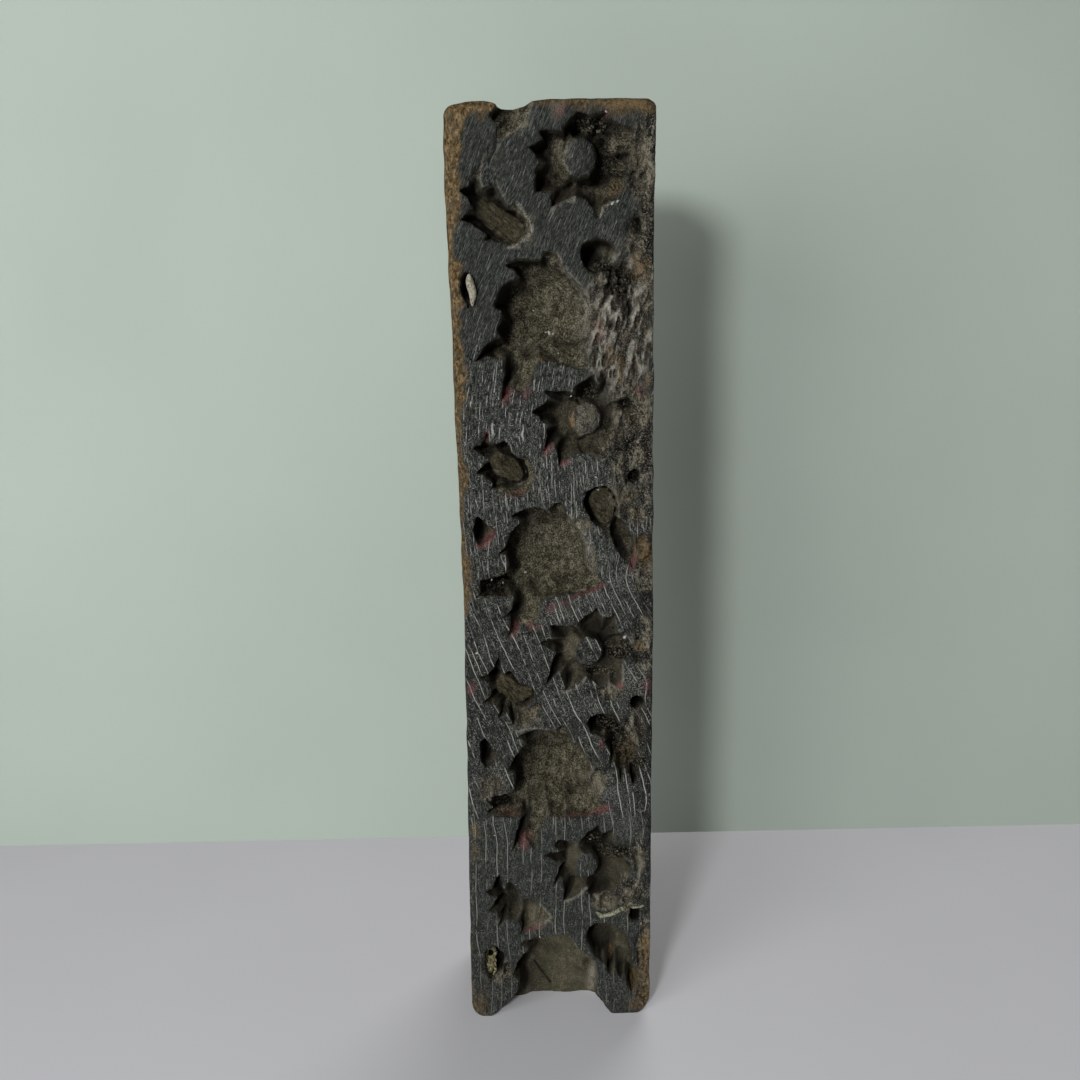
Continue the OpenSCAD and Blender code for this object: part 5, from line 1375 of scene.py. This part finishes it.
grip_l = handle_l - 2 * FOOT_L
foot = np.maximum(np.abs(ax) - handle_w / 2, ah - FOOT_H)
grip = soft_max(np.abs(ax) - GRIP_W / 2 + 0.2, np.hypot(ax, ah - handle_h + CROWN_R) - CROWN_R, 3.0)
flute = np.hypot(np.abs(ax) - GRIP_W / 2 - FLUTE_R + FLUTE_IN, ah - FLUTE_H) - FLUTE_R
grip = soft_max(grip, -flute, 2.5)
section = soft_min(foot, grip, 1.5)
gz_half, gh_top = np.abs(az) - grip_l / 2 + GRIP_END_R, ah - handle_h + GRIP_END_R
lift = rounded_box(gz_half, gh_top, GRIP_END_R)
side_view = soft_min(np.maximum(ah - FOOT_H, np.abs(az) - handle_l / 2), lift, 9.0)
cx, cz = np.abs(ax) - handle_w / 2 + FOOT_R, np.abs(az) - handle_l / 2 + FOOT_R
foot_plan = rounded_box(cx, cz, FOOT_R)
wear = 0.25 * handle_noise(7, 7, 26) + 0.12 * handle_noise(3.5, 3.5, 12)
handle_solid = soft_max(soft_max(section, side_view, 2.4), foot_plan, 1.4)
handle_solid = soft_max(handle_solid, 0.05 - ah + 0 * handle_solid, 0.8)
handle_solid = np.maximum(handle_solid + wear * smoothstep(2.0, 5.0, ah) + 0.12, np.abs(ax) - handle_w / 2)
HANDLE_REACH = 3
handle_bend = bending(handle_solid, HANDLE_REACH)
hp, hf = mesh_from(handle_solid, HANDLE_VOXEL)
h_at = hp * HANDLE_VOXEL + np.array((ax.flat[0], ah.flat[0], az.flat[0]))
handle_world = np.stack([h_at[:, 0] * MM, handle_low.y + h_at[:, 1] * MM, (mid_z + h_at[:, 2]) * MM], axis=1)
handle = new_piece("worn_handle", handle_world, hf)
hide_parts("handle")
bend_at = handle_bend[tuple(np.clip(np.rint(hp).astype(int), 0, np.array(HANDLE_GRID) - 1).T)]
attribute(handle, "rim_wear", smoothstep(0.5, 1.8, bend_at))
# Concave corners of the handle, to be darkened: dirt, and painted shade
attribute(handle, "corner_dirt", smoothstep(-0.3, -1.4, bend_at))
attribute(handle, "polish", smoothstep(9, 20, h_at[:, 1]) * smoothstep(70, 52, np.abs(h_at[:, 2])))
attribute(handle, "stain", smoothstep(8, 0, h_at[:, 1] + 2 * np.sin(h_at[:, 2] * 0.21)))


def grip_wood():
    s = Shade("grip_wood", 0.3)
    mm = millimetres(s)
    bow = s.noise(mm, (0.05, 0.05, 0.012), detail=2)
    rings = s.node("ShaderNodeTexWave", wave_type="RINGS", rings_direction="Z")
    s.feed(rings.inputs["Vector"], s.stretch(mm, (0.075, 0.075, 0.0025)))
    rings.inputs["Scale"].default_value = 1.6
    rings.inputs["Distortion"].default_value = 5.0
    rings.inputs["Detail"].default_value = 3.0
    rings.inputs["Detail Scale"].default_value = 1.2
    pores = s.noise(mm, (2.6, 2.6, 0.16), detail=4, roughness=0.6)
    grit = s.noise(mm, (1.6, 1.6, 1.6), detail=5, roughness=0.7)
    cloud = s.noise(mm, (0.07, 0.07, 0.03), detail=3)
    colour = s.tones(pores, *TONES["grip"])
    colour = s.mix(s.ramp(rings.outputs["Fac"], 0.3, 0.8, 0, 0.5), colour, (0.078, 0.040, 0.018))
    colour = s.mix(s.ramp(bow, 0.4, 0.62, 0, 0.4), colour, (0.165, 0.098, 0.048))
    colour = s.mix(s.ramp(cloud, 0.5, 0.68, 0, 0.6), colour, (0.036, 0.026, 0.020))
    hand_dark = s.times(s.value("polish"), s.ramp(cloud, 0.35, 0.6, 0.25, 0.6))
    colour = s.mix(hand_dark, colour, (0.085, 0.047, 0.023))
    colour = s.mix(s.times(s.value("rim_wear"), s.ramp(grit, 0.35, 0.6, 0.2, 0.75)), colour, (0.24, 0.155, 0.082))
    dye = s.times(s.value("stain"), s.ramp(cloud, 0.42, 0.6, 0.1, 0.75))
    colour = s.mix(dye, colour, (0.040, 0.040, 0.038))
    # Darker in concave corners: painted shade, and dirt
    colour = s.mix(s.times(s.value("corner_dirt"), 0.7), colour, (0.022, 0.017, 0.012))
    colour = s.mix(s.ramp(grit, 0.62, 0.72, 0, 0.4), colour, (0.21, 0.165, 0.115))
    rough = s.minus(s.ramp(grit, 0.35, 0.65, 0.55, 0.75), s.times(s.value("polish"), 0.22))
    bump = s.plus(s.times(pores, 0.8), s.times(grit, 0.5))
    return s.finish(colour, rough, bump, 0.6, 0.0005)


handle.data.materials.append(grip_wood())

# Hand-forged nails, hammered through the feet

NAIL_TURNS = 28
# Rings of a nail, with radii as a share of the head's: above its tip in mm, then below its top in mm
NAIL_POINT = [(0, 0.12), (4, 0.5)]
NAIL_HEAD = [(1.9, 0.5), (1.55, 0.56), (1.5, 0.9), (1.1, 0.98), (0.6, 0.86), (0.25, 0.62), (0.06, 0.3)]


def nail_iron():
    s = Shade("nail_iron", 0.4)
    mm = millimetres(s)
    grit = s.noise(mm, (1.8, 1.8, 1.8), detail=6, roughness=0.7)
    cloud = s.noise(mm, (0.5, 0.5, 0.5), detail=3)
    colour = s.tones(grit, *TONES["iron"])
    colour = s.mix(s.ramp(cloud, 0.45, 0.62, 0, 0.7), colour, (0.042, 0.038, 0.036))
    s.feed(s.surface.inputs["Metallic"], s.ramp(cloud, 0.42, 0.62, 0.1, 0.75))
    return s.finish(colour, s.ramp(grit, 0.35, 0.65, 0.45, 0.8), grit, 0.8, 0.0005)


iron = nail_iron()
for name in ("upper_left_nail", "upper_right_nail", "lower_left_nail", "lower_right_nail"):
    low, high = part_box(name)
    centre_x, centre_z = (low.x + high.x) / 2, (low.z + high.z) / 2
    head_r = (high.x - low.x) / 2
    length = high.y - low.y
    shape = NAIL_POINT + [(length / MM - under, radius) for under, radius in NAIL_HEAD]
    dents = rng.uniform(-1, 1, (len(shape), NAIL_TURNS))
    dents = (dents + np.roll(dents, 1, 1) + np.roll(dents, -1, 1)) / 3
    phase = rng.uniform(0, 2 * math.pi)
    nail_points = [(centre_x, low.y, centre_z)]
    for ring, (rise, radius) in enumerate(shape):
        for k in range(NAIL_TURNS):
            a = 2 * math.pi * k / NAIL_TURNS
            oval = 1 - 0.06 * (1 + math.cos(2 * a + phase)) + (0.05 * dents[ring, k] if ring > 4 else 0)
            r = head_r * radius * min(oval, 1.0)
            sink = 0.12 * dents[ring, k] if ring > 5 else 0
            nail_y = low.y + (rise - abs(sink)) * MM
            nail_points.append((centre_x + r * math.cos(a), nail_y, centre_z + r * math.sin(a)))
    nail_points.append((centre_x, low.y + length - 0.03 * MM, centre_z))
    last = len(nail_points) - 1
    nail_faces = []
    for k in range(NAIL_TURNS):
        n = (k + 1) % NAIL_TURNS
        nail_faces.append((0, 1 + k, 1 + n))
        for ring in range(len(shape) - 1):
            a = 1 + ring * NAIL_TURNS
            nail_faces.append((a + k, a + NAIL_TURNS + k, a + NAIL_TURNS + n, a + n))
        a = 1 + (len(shape) - 1) * NAIL_TURNS
        nail_faces.append((a + k, last, a + n))
    nail = new_piece("forged_" + name, nail_points, nail_faces)
    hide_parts(name)
    nail.data.materials.append(iron)

# Stage, light and camera


def plain(name, colour, variation):
    """A nearly even painted surface."""
    s = Shade(name, 0.15)
    blotch = s.noise(millimetres(s), (0.01, 0.01, 0.01), detail=2)
    low = tuple(c * (1 - variation) for c in colour)
    s.feed(s.surface.inputs["Base Color"], s.tones(blotch, (0.3, low), (0.7, colour)))
    s.surface.inputs["Roughness"].default_value = 0.85
    return s


def stage_plane(name, corners, shade):
    mesh = bpy.data.meshes.new(name)
    mesh.from_pydata(corners, [], [(0, 1, 2, 3)])
    plane = bpy.data.objects.new(name, mesh)
    bpy.context.collection.objects.link(plane)
    plane.data.materials.append(shade.material)


WALL_Y = FACE_Y + 0.107
FLOOR_HALF, WALL_HALF = 1.5, 0.7
floor_corners = [(FLOOR_HALF * across, FLOOR_HALF * along, 0) for across, along in ((-1, -1), (1, -1), (1, 1), (-1, 1))]
stage_plane("floor", floor_corners, plain("floor_paint", (0.88, 0.895, 0.94), 0.04))
wall_shade = plain("wall_paint", (0.52, 0.60, 0.53), 0.06)
# The wall is only there for the eye and only from the front, so that it hides and shades nothing from behind
seen = wall_shade.node("ShaderNodeLightPath").outputs["Is Camera Ray"]
facing = wall_shade.node("ShaderNodeNewGeometry").outputs["Backfacing"]
clear = wall_shade.node("ShaderNodeBsdfTransparent").outputs[0]
either = wall_shade.node("ShaderNodeMixShader")
wall_shade.feed(either.inputs[0], wall_shade.math("SUBTRACT", seen, facing, clamp=True))
wall_shade.feed(either.inputs[1], clear)
wall_shade.feed(either.inputs[2], wall_shade.surface.outputs[0])
wall_shade.feed(wall_shade.tree.nodes["Material Output"].inputs["Surface"], either.outputs[0])
wall_corners = [(WALL_HALF * across, WALL_Y, WALL_HALF * up) for across, up in ((-1, 0), (1, 0), (1, 1), (-1, 1))]
stage_plane("wall", wall_corners, wall_shade)

scene = bpy.context.scene
scene.view_settings.view_transform = "Standard"
world = bpy.data.worlds.new("soft_room")
scene.world = world
world.use_nodes = True
air = world.node_tree
fill = air.nodes["Background"]
fill.inputs["Color"].default_value = (1.0, 0.94, 0.80, 1)
fill.inputs["Strength"].default_value = 0.065
backdrop = air.nodes.new("ShaderNodeBackground")
backdrop.inputs["Color"].default_value = (0.36, 0.41, 0.37, 1)
shown = air.nodes.new("ShaderNodeMixShader")
air.links.new(air.nodes.new("ShaderNodeLightPath").outputs["Is Camera Ray"], shown.inputs[0])
air.links.new(fill.outputs[0], shown.inputs[1])
air.links.new(backdrop.outputs[0], shown.inputs[2])
air.links.new(shown.outputs[0], air.nodes["World Output"].inputs["Surface"])

middle = Vector((0, FACE_Y, 0.121))


def area_light(name, direction, distance, size, energy):
    lamp = bpy.data.lights.new(name, "AREA")
    lamp.shape = "DISK"
    lamp.size = size
    lamp.energy = energy
    light = bpy.data.objects.new(name, lamp)
    light.visible_camera = False
    light.location = middle + Vector(direction).normalized() * distance
    light.rotation_mode = "QUATERNION"
    light.rotation_quaternion = (middle - light.location).to_track_quat("-Z", "Y")
    bpy.context.collection.objects.link(light)


area_light("key", (-0.27, -0.86, 0.30), distance=0.85, size=0.12, energy=3.3)
area_light("window", (-0.62, -0.72, 0.24), distance=0.9, size=0.6, energy=2.9)
# The light behind is broad, so that no shadow shows on the floor in front
area_light("back_fill", (0.35, 0.93, 0.35), distance=1.3, size=1.0, energy=7.5)

camera_data = bpy.data.cameras.new("camera")
camera_data.lens = 36.0
camera_data.sensor_width = 36.0
camera_data.clip_start = 0.01
camera = bpy.data.objects.new("camera", camera_data)
bpy.context.collection.objects.link(camera)
scene.camera = camera
PITCH, YAW, ROLL = 11.96, -0.53, -1.03
turn = Matrix.Rotation(math.radians(ROLL), 3, "Z")
turn = turn @ Matrix.Rotation(math.radians(YAW), 3, "Y") @ Matrix.Rotation(math.radians(PITCH), 3, "X")
level = Matrix(((1, 0, 0), (0, 0, -1), (0, 1, 0)))
upright = Matrix(((1, 0, 0), (0, -1, 0), (0, 0, -1)))
camera.location = CAMERA_AT
camera.rotation_mode = "QUATERNION"
camera.rotation_quaternion = (upright @ turn @ level).transposed().to_quaternion()
